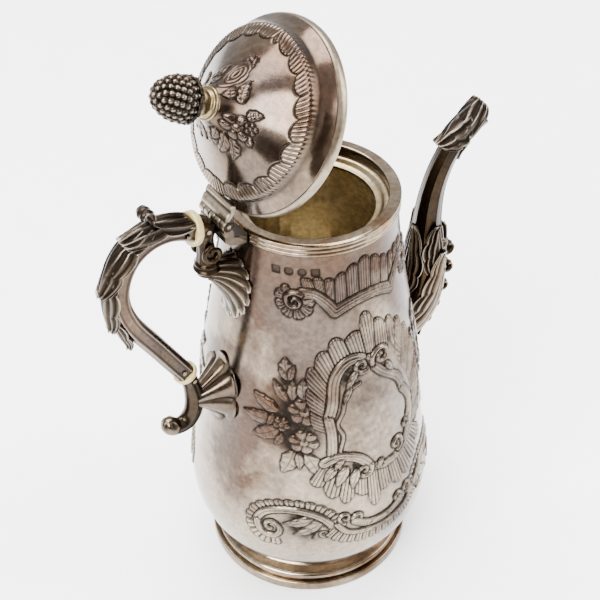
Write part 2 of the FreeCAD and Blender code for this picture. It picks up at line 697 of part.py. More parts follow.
def dome_stations():
    """Outside of the dome: cyma above the edge, shoulder, then the sweep up to the finial."""
    edge = LID_RADIUS - LID_SHEET
    points = [rz(edge, LID_PLANE + LID_EDGE_TOP)]
    for out, up in LID_CYMA:
        points.append(rz(LID_SHOULDER_RADIUS + out * LID_CYMA_WIDTH, LID_PLANE + up * LID_SHOULDER_RISE))
    for out, up in LID_SWEEP:
        radius = LID_TOP_RADIUS + out * (LID_SHOULDER_RADIUS - LID_TOP_RADIUS)
        points.append(rz(radius, LID_PLANE + LID_SHOULDER_RISE + up * (LID_TOP_RISE - LID_SHOULDER_RISE)))
    return points


def lid_dome_closed():
    outer = dome_stations()
    inner = inset(outer, LID_SHEET)
    inner[0] = rz(outer[0].x - 1.6 * LID_SHEET, outer[0].z)
    apex = rz(STUD_RADIUS + FIT, outer[-1].z)
    under = apex - Vector(0, 0, 1.5 * LID_SHEET)
    inner[-1] = rz(outer[-1].x - LID_SHEET, under.z)
    return turned([curve(outer).toShape(), line(outer[-1], apex), line(apex, under), line(under, inner[-1]),
                   curve(inner).toShape(), line(inner[0], outer[0])])


def lid_edge_closed():
    low = RIM_HEIGHT + LID_SEAT_GAP
    top = LID_PLANE + LID_EDGE_TOP
    round_start = rz(LID_RADIUS - 0.9, low)
    round_end = rz(LID_RADIUS - LID_SHEET, top)
    return turned([line(rz(LID_EDGE_BORE, low), round_start),
                   arc(round_start, rz(LID_RADIUS, LID_PLANE), round_end),
                   line(round_end, rz(LID_EDGE_BORE, top)),
                   line(rz(LID_EDGE_BORE, top), rz(LID_EDGE_BORE, low))])


def lid_bezel_closed():
    """Flat flange under the lid with a tapered skirt that drops into the mouth."""
    low = RIM_HEIGHT + LID_SEAT_GAP
    outside = RIM_BORE_RADIUS - LID_BEZEL_CLEARANCE
    return turned_outline([(LID_EDGE_BORE, low), (LID_EDGE_BORE, low + LID_BEZEL_SHEET),
                           (outside - LID_BEZEL_SHEET, low + LID_BEZEL_SHEET),
                           (outside - 1.3 * LID_BEZEL_SHEET, low - LID_BEZEL_DEPTH),
                           (outside - 0.3 * LID_BEZEL_SHEET, low - LID_BEZEL_DEPTH), (outside, low)])


def lid_outside():
    """Everything inside the closed lid's outline, to fit the hinge leaf against it."""
    outer = dome_stations()
    top = rz(0, outer[-1].z)
    bottom = rz(0, outer[0].z)
    dome = turned([curve(outer).toShape(), line(outer[-1], top), line(top, bottom), line(bottom, outer[0])])
    disc = Part.makeCylinder(LID_EDGE_BORE, outer[0].z - RIM_HEIGHT, Vector(0, 0, RIM_HEIGHT))
    return dome.fuse([disc, lid_edge_closed()])


# ---- finial, on the closed lid

def finial_base():
    return LID_PLANE + LID_TOP_RISE


def finial_stem_closed():
    """Turned rings on a threaded stud that goes down through the lid."""
    base = finial_base()
    corners = [(0, 0), (1.0, 0), (1.0, 0.14), (0.78, 0.24), (0.80, 0.42), (0.62, 0.50), (0.46, 0.70), (0.60, 0.82),
               (0.60, 1.0), (0, 1.0)]
    stem = turned_outline([(r * STEM_RADIUS, base + h * STEM_HEIGHT) for r, h in corners])
    depth = 1.5 * LID_SHEET + 1.4 * NUT_HEIGHT
    stud = Part.makeCylinder(STUD_RADIUS, depth, Vector(0, 0, base - depth))
    return stem.fuse(stud).cut(fruit_solid()).removeSplitter()


def finial_nut_closed():
    points = []
    top = finial_base() - 1.5 * LID_SHEET
    for corner in range(7):
        angle = math.radians(60 * corner)
        points.append(Vector(NUT_RADIUS * math.cos(angle), NUT_RADIUS * math.sin(angle), top - NUT_HEIGHT))
    nut = Part.Face(Part.makePolygon(points)).extrude(Vector(0, 0, NUT_HEIGHT))
    return nut.cut(Part.makeCylinder(STUD_RADIUS + FIT, BIG, Vector(0, 0, 0)))


def fruit_solid():
    """Egg shape, fuller towards the stem."""
    low = finial_base() + STEM_HEIGHT
    length = 2 * FRUIT_HALF_LENGTH
    points = [rz(0, low), rz(0.62 * FRUIT_RADIUS, low + 0.09 * length), rz(FRUIT_RADIUS, low + 0.38 * length),
              rz(0.80 * FRUIT_RADIUS, low + 0.72 * length), rz(0.42 * FRUIT_RADIUS, low + 0.94 * length),
              rz(0, low + length)]
    return turned([curve(points).toShape(), line(points[-1], points[0])])


def finial_calyx_closed():
    """Cup of leaves round the underside of the fruit."""
    low = finial_base() + STEM_HEIGHT
    foot = 0.6 * STEM_RADIUS
    cup = [rz(foot, low), rz(0.5 * (foot + CALYX_RADIUS), low + 0.25 * CALYX_HEIGHT),
           rz(CALYX_RADIUS + 1.2, low + 0.75 * CALYX_HEIGHT), rz(CALYX_RADIUS + 1.6, low + CALYX_HEIGHT)]
    top = rz(0, low + CALYX_HEIGHT)
    bottom = rz(0, low)
    solid = turned([curve(cup).toShape(), line(cup[-1], top), line(top, bottom), line(bottom, cup[0])])
    return solid.cut(fruit_solid())


def main():
    os.makedirs("parts", exist_ok=True)
    spout_left, spout_right = spout_halves()
    handle_left, handle_right = handle_halves()
    pot = {
        "body_shell": body_shell(),
        "rim_moulding": rim_moulding(),
        "mouth_bezel": mouth_bezel(),
        "foot_pedestal": foot_pedestal(),
        "foot_rim": foot_rim(),
        "spout_left_half": spout_left,
        "spout_right_half": spout_right,
        "handle_left_half": handle_left,
        "handle_right_half": handle_right,
        "thumb_leaf": thumb_leaf(),
        "upper_insulator": upper_insulator(),
        "lower_insulator": lower_insulator(),
        "upper_socket": upper_socket(),
        "upper_shell_mount": upper_shell_mount(),
        "lower_scroll": lower_scroll(),
        "lower_mount": lower_mount(),
        "hinge_body_leaf": hinge_body_leaf(),
        "hinge_pin": hinge_pin(),
    }
    pot.update(handle_pin_set(0))
    lid = {
        "lid_dome": lid_dome_closed(),
        "lid_edge_moulding": lid_edge_closed(),
        "lid_bezel": lid_bezel_closed(),
        "hinge_lid_leaf": hinge_lid_leaf(),
        "finial_stem": finial_stem_closed(),
        "finial_nut": finial_nut_closed(),
        "finial_calyx": finial_calyx_closed(),
        "finial_fruit": fruit_solid(),
    }
    for name, shape in pot.items():
        save(name, shape)
    for name, shape in lid.items():
        save(name, opened(shape))


main()
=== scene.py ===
import json
import math

import bpy
import numpy as np
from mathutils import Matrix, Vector


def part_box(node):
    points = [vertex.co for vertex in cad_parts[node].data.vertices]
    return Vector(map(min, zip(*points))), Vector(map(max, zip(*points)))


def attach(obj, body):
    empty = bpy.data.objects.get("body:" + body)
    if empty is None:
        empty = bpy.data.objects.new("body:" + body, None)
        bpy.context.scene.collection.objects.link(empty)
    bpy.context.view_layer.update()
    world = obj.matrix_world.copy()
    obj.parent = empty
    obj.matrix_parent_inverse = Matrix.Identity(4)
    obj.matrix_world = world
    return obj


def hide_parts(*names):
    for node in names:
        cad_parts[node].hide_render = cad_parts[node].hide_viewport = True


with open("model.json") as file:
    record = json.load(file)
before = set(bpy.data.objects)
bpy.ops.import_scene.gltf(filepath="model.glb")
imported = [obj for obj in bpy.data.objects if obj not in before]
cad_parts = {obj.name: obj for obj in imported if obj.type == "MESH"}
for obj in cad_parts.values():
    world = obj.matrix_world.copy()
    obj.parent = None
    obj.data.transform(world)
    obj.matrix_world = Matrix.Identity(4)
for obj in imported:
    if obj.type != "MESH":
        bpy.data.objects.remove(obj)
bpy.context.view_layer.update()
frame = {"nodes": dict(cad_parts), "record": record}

# Silver coffee pot. Shapes are worked out in millimetres in the CAD frame and made in metres.
# +Z is up, +X points to the spout and -X to the handle. The body's sides are +Y and -Y.

MM = 0.001
SIDES = ((1, "left"), (-1, "right"))


# ---- places read from the frame

def low_of(node, axis):
    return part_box(node)[0][axis] / MM


def high_of(node, axis):
    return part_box(node)[1][axis] / MM


RIM_TOP = high_of("rim_moulding", 2)
RIM_RADIUS = high_of("rim_moulding", 1)
NECK_TOP = low_of("rim_moulding", 2)
NECK_RADIUS = RIM_RADIUS - 0.8
SEAT_HEIGHT = low_of("body_shell", 2)
BELLY_RADIUS = high_of("body_shell", 1)
FOOT_RADIUS = high_of("foot_rim", 1)
FOOT_TOP = high_of("foot_rim", 2)
LID_RADIUS = high_of("lid_edge_moulding", 1)
HINGE = np.array(frame["record"]["behaviour"]["joints"][0]["pos_m"]) / MM
MOUTH_BORE = RIM_RADIUS - 5.1
COLLAR_HEIGHT = RIM_TOP + 5.5      # middle of the upper ivory collar

SEAT_RADIUS = 38.0
BELLY_HEIGHT = 44.5
WALL = 1.0
LID_WALL = 1.1
BODY_TAPER = [(0.17, 0.874), (0.30, 0.736), (0.45, 0.624), (0.61, 0.43), (0.78, 0.21), (0.94, 0.03)]
LID_OPEN = math.radians(60)
LID_PLANE = RIM_TOP + 2.4    # height of the closed lid's widest line
LID_PROFILE = [(38.8, 2.9), (36.6, 5.1), (35.22, 7.0), (34.35, 9.6), (33.9, 11.3), (30.6, 13.5),
               (27.7, 15.3),
               (20.1, 20.4), (13.3, 25.2), (9.2, 29.0), (6.8, 32.5)]


# ---- curves

def smooth(points, count):
    """Points evenly spaced along a natural cubic curve through the given ones."""
    p = np.array(points, float)
    steps = np.maximum(np.linalg.norm(np.diff(p, axis=0), axis=1), 1e-6)
    knots = np.concatenate([[0], np.cumsum(steps)])
    n = len(p)
    system = np.eye(n)
    right = np.zeros_like(p)
    for i in range(1, n - 1):
        system[i, i - 1:i + 2] = steps[i - 1], 2 * (steps[i - 1] + steps[i]), steps[i]
        right[i] = 6 * ((p[i + 1] - p[i]) / steps[i] - (p[i] - p[i - 1]) / steps[i - 1])
    bend = np.linalg.solve(system, right)
    fine = np.linspace(0, knots[-1], 24 * n)
    span = np.clip(np.searchsorted(knots, fine, side="right") - 1, 0, n - 2)
    h = steps[span][:, None]
    a = (knots[span + 1] - fine)[:, None] / h
    b = 1 - a
    bent = (a ** 3 - a) * bend[span] + (b ** 3 - b) * bend[span + 1]
    curve = a * p[span] + b * p[span + 1] + bent * h * h / 6
    return evenly(curve, count)


def evenly(curve, count):
    lengths = np.concatenate([[0], np.cumsum(np.linalg.norm(np.diff(curve, axis=0), axis=1))])
    places = np.linspace(0, lengths[-1], count)
    return np.stack([np.interp(places, lengths, curve[:, k]) for k in range(curve.shape[1])], 1)


def left_of(curve):
    """Unit vectors to the left of a curve at each of its points."""
    step = np.gradient(curve, axis=0)
    step /= np.linalg.norm(step, axis=1)[:, None]
    return np.stack([-step[:, 1], step[:, 0]], 1)


def whole_turn(count):
    return np.linspace(0, 2 * math.pi, count, endpoint=False)


def about_axis(radius, angle, height):
    return np.stack(np.broadcast_arrays(radius * np.cos(angle), radius * np.sin(angle), height), -1)


def spiral(centre, radius, start, turns, inner=0.25, count=40):
    """Volute from its outside in; start is the outer end's angle in degrees, turns may be negative."""
    t = np.linspace(0, 1, count)
    angle = math.radians(start) + 2 * math.pi * turns * t
    r = radius * (1 - (1 - inner) * t)
    return np.stack([centre[0] + r * np.cos(angle), centre[1] + r * np.sin(angle)], 1)


def waves(x, y, seed, scale, octaves=3):
    """Smooth noise between about -1 and 1."""
    rng = np.random.default_rng(seed)
    total = np.zeros(np.broadcast(x, y).shape)
    for octave in range(octaves):
        size = scale / 1.9 ** octave
        for _ in range(4):
            angle = rng.uniform(0, 2 * math.pi)
            phase = rng.uniform(0, 2 * math.pi)
            along = (x * math.cos(angle) + y * math.sin(angle)) / size * 2 * math.pi
            total += np.sin(along + phase) / 4 / 1.6 ** octave
    return total


# ---- chased relief

def nearest(curve, x, y):
    """Distance to a curve, place along it in millimetres, and the side (positive on its left)."""
    start = curve[:-1]
    step = np.diff(curve, axis=0)
    length = np.maximum(np.linalg.norm(step, axis=1), 1e-9)
    before = np.concatenate([[0], np.cumsum(length)[:-1]])
    dx = x[:, None] - start[None, :, 0]
    dy = y[:, None] - start[None, :, 1]
    share = np.clip((dx * step[:, 0] + dy * step[:, 1]) / length ** 2, 0, 1)
    off = np.hypot(dx - share * step[:, 0], dy - share * step[:, 1])
    best = off.argmin(1)
    rows = np.arange(len(x))
    cross = step[best, 0] * dy[rows, best] - step[best, 1] * dx[rows, best]
    return off[rows, best], before[best] + share[rows, best] * length[best], np.where(cross >= 0, 1.0, -1.0)


def dome(t):
    return np.sqrt(np.clip(1 - t * t, 0, 1))


class Relief:
    """Height and tarnish over a surface whose points have the places x and y, in millimetres."""

    def __init__(self, x, y):
        self.shape = x.shape
        self.x = x.ravel()
        self.y = y.ravel()
        self.height = np.zeros(self.x.size)
        self.dark = np.zeros(self.x.size)

    def around(self, points, reach):
        low = points.min(0) - reach
        high = points.max(0) + reach
        inside = (self.x > low[0]) & (self.x < high[0]) & (self.y > low[1]) & (self.y < high[1])
        return np.nonzero(inside)[0]

    def raise_to(self, where, height):
        self.height[where] = np.maximum(self.height[where], height)

    def cut(self, where, depth, shade):
        self.height[where] -= depth
        self.dark[where] = np.maximum(self.dark[where], shade)

    def score(self, where, gap, width, depth=0.3, shade=1.0, mask=1):
        """Dark sunk line where the gap is nought."""
        line = np.exp(-(gap / width) ** 2) * mask
        self.cut(where, depth * line, shade * line)

    def clear(self, where, mask):
        """Lets a piece in front hide the tarnish of what lies behind it."""
        self.dark[where] *= 1 - mask
        self.height[where] *= 1 - mask

    def band(self, points, half_width, height=0.7, lines=2, taper=0.0):
        """Raised moulding with an outline and parallel lines along it."""
        curve = np.array(points, float)
        where = self.around(curve, half_width + 1)
        if len(where) == 0:
            return
        off, place, side = nearest(curve, self.x[where], self.y[where])
        total = place.max()
        width = half_width * (1 - taper * place / total)
        t = off * side / width
        inside = (np.abs(t) < 1).astype(float)
        self.clear(where, inside)
        ribs = 0.5 + 0.5 * np.cos(math.pi * (lines + 1) * (t + 1))
        self.raise_to(where, inside * height * (0.45 * dome(t) + 0.55 * (1 - ribs) ** 0.7 * dome(t) ** 0.5))
        self.dark[where] = np.maximum(self.dark[where], inside * 0.72 * ribs ** 5)
        self.score(where, (np.abs(t) - 1) * width, 0.5, 0.35)

    def shell(self, points, tips, flutes=4, height=1.0, notch=0.24):
        """Fluted lobes that stand side by side on a curve; each lobe ends at its own tip."""
        base = evenly(np.array(points, float), len(tips) + 1)
        tips = np.array(tips, float)
        middles = (base[:-1] + base[1:]) / 2
        rays = tips - middles
        between = (rays[:-1] + rays[1:]) / 2
        ends = np.concatenate([rays[:1], between, rays[-1:]]) * (1 - notch)
        notches = base + ends
        notches[1:-1] = (tips[:-1] + tips[1:]) / 2 * (1 - notch) + base[1:-1] * notch
        for index in range(len(tips)):
            self.lobe(base[index], base[index + 1], notches[index], notches[index + 1], tips[index],
                      flutes, height)

    def lobe(self, left, right, left_top, right_top, tip, flutes, height):
        corners = np.stack([left, right, left_top, right_top, tip])
        where = self.around(corners, 1.2)
        x, y = self.x[where], self.y[where]
        b, c = right - left, left_top - left
        d = (right_top - right) - c
        s = np.full(len(where), 0.5)
        t = np.full(len(where), 0.5)
        for _ in range(7):
            fx = left[0] + s * b[0] + t * c[0] + s * t * d[0] - x
            fy = left[1] + s * b[1] + t * c[1] + s * t * d[1] - y
            sx, sy = b[0] + t * d[0], b[1] + t * d[1]
            tx, ty = c[0] + s * d[0], c[1] + s * d[1]
            scale = sx * ty - sy * tx
            scale = np.where(np.abs(scale) < 1e-6, 1e-6, scale)
            s = np.clip(s - (fx * ty - fy * tx) / scale, -2, 3)
            t = np.clip(t - (fy * sx - fx * sy) / scale, -2, 3)
        mid_top = (left_top + right_top) / 2
        mid = (left + right) / 2
        crown = np.linalg.norm(tip - mid) / max(np.linalg.norm(mid_top - mid), 1e-6) - 1
        top = 1 + crown * dome(2 * s - 1) ** 1.2
        width = np.linalg.norm(b + t[:, None] * d, axis=1)
        length = np.linalg.norm(c + s[:, None] * d, axis=1)
        inside = ((s > 0) & (s < 1) & (t > -0.03) & (t < top)).astype(float)
        self.clear(where, inside)
        v = 2 * s - 1
        wave = 0.5 + 0.5 * np.cos(2 * math.pi * flutes * s)
        rise = np.clip((top - t) * length / 0.8, 0, 1) * (0.5 + 0.5 * np.clip(t, 0, 1))
        ribs = 0.30 + 0.70 * (1 - wave) ** 0.6
        self.raise_to(where, inside * height * rise * ribs * (0.75 + 0.25 * dome(v)))
        mark = inside * wave ** 3 * np.clip(t * 8, 0.3, 1)
        self.cut(where, 0.15 * mark, 0.85 * mark)
        beside = (t > 0) & (t < top)
        self.score(where, (top - t) * length, 0.52, mask=(s > -0.02) & (s < 1.02))
        self.score(where, s * width, 0.52, mask=beside)
        self.score(where, (1 - s) * width, 0.52, mask=beside)

    def scallops(self, points, count, reach, side=1, flutes=2, height=0.8):
        """Shell whose tips lie at one distance from the curve."""
        curve = evenly(np.array(points, float), 2 * count + 1)
        self.shell(curve, (curve + left_of(curve) * side * reach)[1::2], flutes, height, 0.20)

    def stain(self, centre, reach, shade):
        """Mottled film of tarnish over a plain field."""
        dx = (self.x - centre[0]) / reach[0]
        dy = (self.y - centre[1]) / reach[1]
        field = np.exp(-(dx * dx + dy * dy) ** 2)
        mottle = np.clip(0.55 + 0.7 * waves(self.x, self.y, 23, 9, 4), 0, 1)
        self.dark = np.maximum(self.dark, shade * field * mottle)

    def pool(self, centre, radius, shade):
        """Dark in the low ground round a flower: tarnishing gathered there, and painted shade."""
        where = self.around(np.array([centre]), 2 * radius)
        off = np.hypot(self.x[where] - centre[0], self.y[where] - centre[1]) / radius
        ragged = 0.8 + 0.35 * waves(self.x[where], self.y[where], 11, 4, 2)
        self.cut(where, 0.25 * np.exp(-off ** 4), np.clip(shade * ragged, 0, 1) * np.exp(-off ** 4))

    def leaf(self, base, tip, width, veins=4, height=0.75, curl=0.0, teeth=0.0):
        """Pointed leaf with a midrib, side veins and a cut outline."""
        base = np.array(base, float)
        tip = np.array(tip, float)
        length = np.linalg.norm(tip - base)
        along = (tip - base) / length
        across = np.array([-along[1], along[0]])
        where = self.around(np.array([base, tip]), width)
        dx = self.x[where] - base[0]
        dy = self.y[where] - base[1]
        u = (dx * along[0] + dy * along[1]) / length
        v = dx * across[0] + dy * across[1] - curl * width * np.sin(math.pi * np.clip(u, 0, 1))
        inner = np.clip(u, 0, 1)
        toothed = 1 - teeth * np.abs(np.sin(math.pi * 3 * inner))
        half = width / 2 * (np.sin(math.pi * inner ** 0.75) ** 0.8) * toothed
        t = np.abs(v) / np.maximum(half, 0.05)
        inside = ((t < 1) & (u > 0) & (u < 1)).astype(float)
        self.clear(where, inside)
        vein = 0.5 + 0.5 * np.cos(2 * math.pi * (veins * u - 1.1 * np.abs(v) / width))
        self.raise_to(where, inside * height * dome(t) ** 0.7 * (0.8 + 0.2 * (1 - vein)))
        rib = np.exp(-(v / 0.28) ** 2)
        marks = np.maximum(0.55 * vein ** 6 * np.clip(t * 2.5, 0, 1), 0.8 * rib) * inside
        self.cut(where, 0.14 * marks, marks)
        self.score(where, np.abs(v) - half, 0.50, mask=(u > 0) & (u < 1))

    def daisy(self, centre, radius, petals=6, turn=0.0, height=1.0):
        where = self.around(np.array([centre]), radius + 1)
        dx = self.x[where] - centre[0]
        dy = self.y[where] - centre[1]
        r = np.hypot(dx, dy)
        angle = np.arctan2(dy, dx) + turn
        lobe = np.abs(np.cos(petals / 2 * angle))
        outline = radius * (0.70 + 0.30 * lobe ** 0.5)
        t = r / outline
        inside = (t < 1).astype(float)
        self.clear(where, inside)
        swell = 0.35 + 0.65 * np.sin(math.pi * np.clip(t, 0, 1)) ** 0.7
        self.raise_to(where, inside * height * swell * (0.55 + 0.45 * lobe))
        between = np.exp(-(lobe * r / 1.5) ** 2) * (r > 0.3 * radius)
        streak = (0.5 + 0.5 * np.cos(petals * 4 * angle)) ** 4 * (r > 0.35 * radius) * (t < 0.75)
        shade = np.maximum(between, 0.6 * streak) * inside
        self.cut(where, 0.22 * shade, 0.95 * shade)
        self.score(where, (t - 1) * outline, 0.52)
        heart = r / (0.30 * radius)
        self.raise_to(where, 1.15 * height * dome(np.clip(heart, 0, 1)) * (heart < 1))
        self.score(where, (heart - 1) * 0.30 * radius, 0.35, 0.2, 0.95)
        pits = (np.cos(dx * 5.2) * np.cos(dy * 5.2)) ** 2 * (heart < 0.9)
        self.cut(where, 0.1 * pits, 0.6 * pits)

    def rose(self, centre, radius, height=1.2):
        """Open rose: rings of overlapping petals round a curled heart."""
        where = self.around(np.array([centre]), radius + 1)
        dx = self.x[where] - centre[0]
        dy = self.y[where] - centre[1]
        r = np.hypot(dx, dy)
        angle = np.arctan2(dy, dx)
        self.clear(where, (r < 0.95 * radius).astype(float))
        for ring, (share, count) in enumerate([(1.0, 6), (0.74, 5), (0.50, 4), (0.27, 3)]):
            lobe = np.abs(np.sin(count / 2 * angle + ring * 0.9)) ** 0.5
            outline = radius * share * (0.86 + 0.14 * lobe)
            t = r / outline
            bowl = 0.72 + 0.28 * np.clip(t, 0, 1) ** 3
            self.raise_to(where, (t < 1) * height * (0.35 + 0.16 * ring) * bowl)
            self.score(where, (t - 1) * outline, 0.36, 0.2, 0.9)

    def mark(self, centre, half, corners):
        """Small blank punch mark with a plain sunk field."""
        where = self.around(np.array([centre]), half + 1)
        dx = np.abs(self.x[where] - centre[0]) / half
        dy = np.abs(self.y[where] - centre[1]) / half
        t = (dx ** corners + dy ** corners) ** (1 / corners)
        sunk = np.clip((1 - t) * 8, 0, 1)
        rim = np.exp(-((t - 1) * half / 0.3) ** 2)
        self.cut(where, 0.28 * sunk, np.clip(0.5 * sunk + rim, 0, 1))

    def grids(self):
        return self.height.reshape(self.shape), np.clip(self.dark, 0, 1).reshape(self.shape)


# ---- the body's chasing; places are (degrees round the axis, height)

def body_profile():
    points = []
    for angle in (0, 30, 60):
        swell = math.sin(math.radians(angle)) * (BELLY_RADIUS - SEAT_RADIUS)
        drop = math.cos(math.radians(angle)) * (BELLY_HEIGHT - SEAT_HEIGHT)
        points.append((SEAT_RADIUS + swell, BELLY_HEIGHT - drop))
    points.append((BELLY_RADIUS, BELLY_HEIGHT))
    for up, swell in BODY_TAPER:
        radius = NECK_RADIUS + swell * (BELLY_RADIUS - NECK_RADIUS)
        points.append((radius, BELLY_HEIGHT + up * (NECK_TOP - BELLY_HEIGHT)))
    points.append((NECK_RADIUS, NECK_TOP))
    return points


PROFILE = smooth(body_profile(), 400)


def body_radius(height):
    return np.interp(height, PROFILE[:, 1], PROFILE[:, 0])


def on_body(points, flip=False):
    """Places on the body's side, measured from its middle at -90 degrees."""
    p = np.array(points, float).reshape(-1, 2)
    turn = -(p[:, 0] + 90) if flip else p[:, 0] + 90
    return np.stack([np.radians(turn) * body_radius(p[:, 1]), p[:, 1]], 1)


def spot(turn, height, flip=False):
    return on_body([(turn, height)], flip)[0]


def body_curve(points, flip=False, count=60):
    return smooth(on_body(points, flip), count)


def mirrored(points, skip=1):
    """Adds the other half of a line of places; skip drops the last one, on the middle of the side."""
    return points + [(-180 - turn, height) for turn, height in points[::-1][skip:]]


def cornered(*runs):
    """One curve of smooth runs with sharp corners between them."""
    curves = [body_curve(run, count=30) for run in runs]
    return np.concatenate(curves[:1] + [curve[1:] for curve in curves[1:]])


def upper_band(relief):
    left = [(-130, 181), (-125, 181), (-119, 178.6), (-114, 174.8), (-110.5, 171.3)]
    middle = mirrored([(-110.5, 171.3), (-104, 173.4), (-97, 174.8), (-90, 175.2)])
    right = mirrored(left, 0)[len(left):]
    lip = [(turn, height + 2.2) for turn, height in left + middle[1:-1] + right]
    tips = [(-127.5, 188.6), (-121, 189), (-113.5, 188), (-107, 189.6), (-99.5, 192.4), (-90, 194.5)]
    relief.shell(on_body(lip), on_body(mirrored(tips)), 5, 0.9, 0.16)
    relief.band(cornered(left, middle, right), 2.7, 1.1, 3)
    for side in (1, -1):
        eye = spot(-134.8, 177, side < 0)
        ring = spiral(eye, 3.9, 90 + 5 * side, 0.80 * side, inner=1.0)
        relief.scallops(ring, 7, 4.6, -side, 3, 0.8)
        relief.band(spiral(eye, 4.4, 90 - 40 * side, 1.35 * side, inner=0.2), 1.5, 1.2, 0, 0.45)


CROWN = [(-117, 110), (-118, 124), (-115, 137), (-108, 145), (-100, 147.5), (-93, 145), (-90, 142),
         (-87, 146.5),
         (-80, 147.5), (-74, 142), (-69, 132), (-63, 122), (-59, 110), (-58, 98), (-61, 89)]
CROWN_TIPS = [(-125.5, 118), (-128, 130), (-127.5, 142.5), (-121, 151.5), (-111.5, 158.5), (-102, 159),
              (-91, 167.5),
              (-81.5, 161), (-73.5, 158.5), (-65.5, 154), (-58, 146), (-52, 135), (-49, 122), (-48,
                                                                                               108), (-51,
                                                                                                      95)]
SKIRT = [(-60, 90), (-67, 84), (-75, 80), (-84, 79.5), (-92, 80.5), (-99, 84), (-106, 88), (-113, 91),
         (-120, 91)]
SKIRT_TIPS = [(-53, 78), (-60.5, 71.5), (-69, 66.5), (-77.5, 65.5), (-85, 67.5), (-92, 60.5), (-99.5, 69.5),
              (-107, 67.5), (-115.5, 72.5), (-123.5, 80)]
# the frame round the plain field, in the order it is laid: each scroll's half width, height, lines and places
FRAME_SCROLLS = [
    (1.0, 0.8, 0, [(-98, 133), (-103, 131), (-107, 125), (-108.5, 119), (-111, 113.5), (-108, 107),
                   (-109, 97),
                   (-103, 95)]),
    (2.7, 1.3, 2, [(-92, 140.5), (-96, 145), (-103, 146), (-109, 142.5), (-112.5, 135), (-113.4, 125),
                   (-115.4, 118)]),
    (2.4, 1.2, 2, [(-115.4, 117), (-113.8, 108), (-113.8, 97)]),
    (1.5, 1.4, 0, (-96, 141.5, 4.6, 40, -1.35, 0.2)),
    (2.2, 1.2, 2, [(-89, 140), (-85, 135.5), (-78, 130), (-71.5, 124), (-69.5, 118)]),
    (1.6, 1.4, 0, (-83, 142, 5.2, 200, -1.35, 0.2)),
    (2.2, 1.2, 2, [(-69, 117), (-64.5, 111), (-63, 104), (-65, 98)]),
    (1.2, 1.2, 0, (-67.5, 96, 3.2, 30, -1.1, 0.25)),
    (2.2, 1.2, 2, [(-66, 92), (-70, 85.5), (-77, 82), (-85, 81.5), (-91, 83)]),
    (1.4, 1.3, 0, (-76, 88.5, 4.2, -80, 1.25, 0.2)),
    (2.5, 1.3, 2, [(-118, 92.5), (-112, 95), (-105, 94), (-98, 90), (-94, 85)]),
    (1.4, 1.3, 0, (-97, 83.5, 4.2, 20, -1.25, 0.2))]
FRAME_LEAVES = [((-99, 140), (-106, 131), 3.5), ((-103, 133), (-107.5, 124), 3.0),
                ((-80, 137), (-75.5, 131), 3.5),
                ((-112, 90), (-118, 82), 5.0), ((-106, 89), (-112, 78), 5.5), ((-101, 86), (-104, 75), 5.0),
                ((-108, 94), (-113, 88), 3.5), ((-86, 86), (-90, 80.5), 3.5)]


def cartouche(relief):
    relief.shell(body_curve(CROWN, count=120), on_body(CROWN_TIPS), 5, 1.0, 0.26)
    relief.shell(body_curve(SKIRT, count=100), on_body(SKIRT_TIPS), 4, 1.0, 0.3)
    relief.pool(spot(-104, 138), 6, 0.9)
    relief.pool(spot(-99, 86), 6, 1.0)
    for half_width, height, lines, places in FRAME_SCROLLS:
        if isinstance(places, list):
            relief.band(body_curve(places), half_width, height, lines)
        else:
            turn, up, radius, start, turns, inner = places
            relief.band(spiral(spot(turn, up), radius, start, turns, inner), half_width, height, lines, 0.4)
    for base, tip, width in FRAME_LEAVES:
        relief.leaf(*on_body([base, tip]), width, 3, 1.2)


SPRAY_LEAVES = [((-137, 127), (-145, 137.5), 5.0), ((-134, 128), (-134, 138.5), 4.5),
                ((-128, 128), (-128.5, 139.5), 5.5),
                ((-123, 127), (-121.5, 136), 4.5), ((-141, 121), (-156, 128), 7.0), ((-143, 116),
                                                                                     (-161.5, 116), 7.0),
                ((-141, 112), (-155, 105), 7.5), ((-139, 109), (-143, 101.5), 3.6), ((-133, 100),
                                                                                     (-139, 86.5), 8.0),
                ((-127, 99), (-120, 84.5), 7.0), ((-131, 99), (-130, 89), 4.0), ((-144, 119), (-147, 112),
                                                                                 3.4),
                ((-136, 138), (-139, 149.5), 7.0), ((-136, 138), (-133.5, 146), 3.4),
                ((-137.5, 138), (-142, 144.5), 3.0)]


def flower_spray(relief, flip):
    for turn, height, radius in [(-131, 121, 9.5), (-130, 106, 9.0), (-140, 115, 6.0), (-137, 138, 3.5)]:
        relief.pool(spot(turn, height, flip), radius + 0.6, 1.35)
    for base, tip, width in SPRAY_LEAVES:
        relief.leaf(*on_body([base, tip], flip), 1.12 * width, 4, 1.0, 0.08, 0.14)
    for turn, height, radius, petals in [(-128, 122, 7.2, 6), (-128, 105.5, 6.8, 6),
                                         (-139.5, 114.5, 4.0, 5)]:
        relief.daisy(spot(turn, height, flip), radius, petals, 0.3, 1.3)


BORDER_EDGE = [(-139, 47), (-144, 45.8), (-149.5, 48), (-152, 53), (-151, 59), (-146, 64), (-138, 66.5),
               (-129, 67),
               (-121, 65), (-115, 60.5), (-112, 57)]
BORDER_ARCH = [(-151, 55), (-148, 60.5), (-141, 64.5), (-133, 65.5), (-125, 64), (-118, 60), (-114, 55)]
BORDER_LEAVES = [((-119, 63), (-138, 57), 6.5), ((-117, 62), (-133, 50.5), 6.5),
                 ((-114, 60), (-124, 48), 6.0),
                 ((-112, 60), (-117, 50), 4.5)]
BORDER_CURLS = [(-118, 52, 3.2, 20, -1.1), (-108, 59, 3.4, -100, -1.2), (-101.5, 57.5, 2.6, 180, -1.1)]


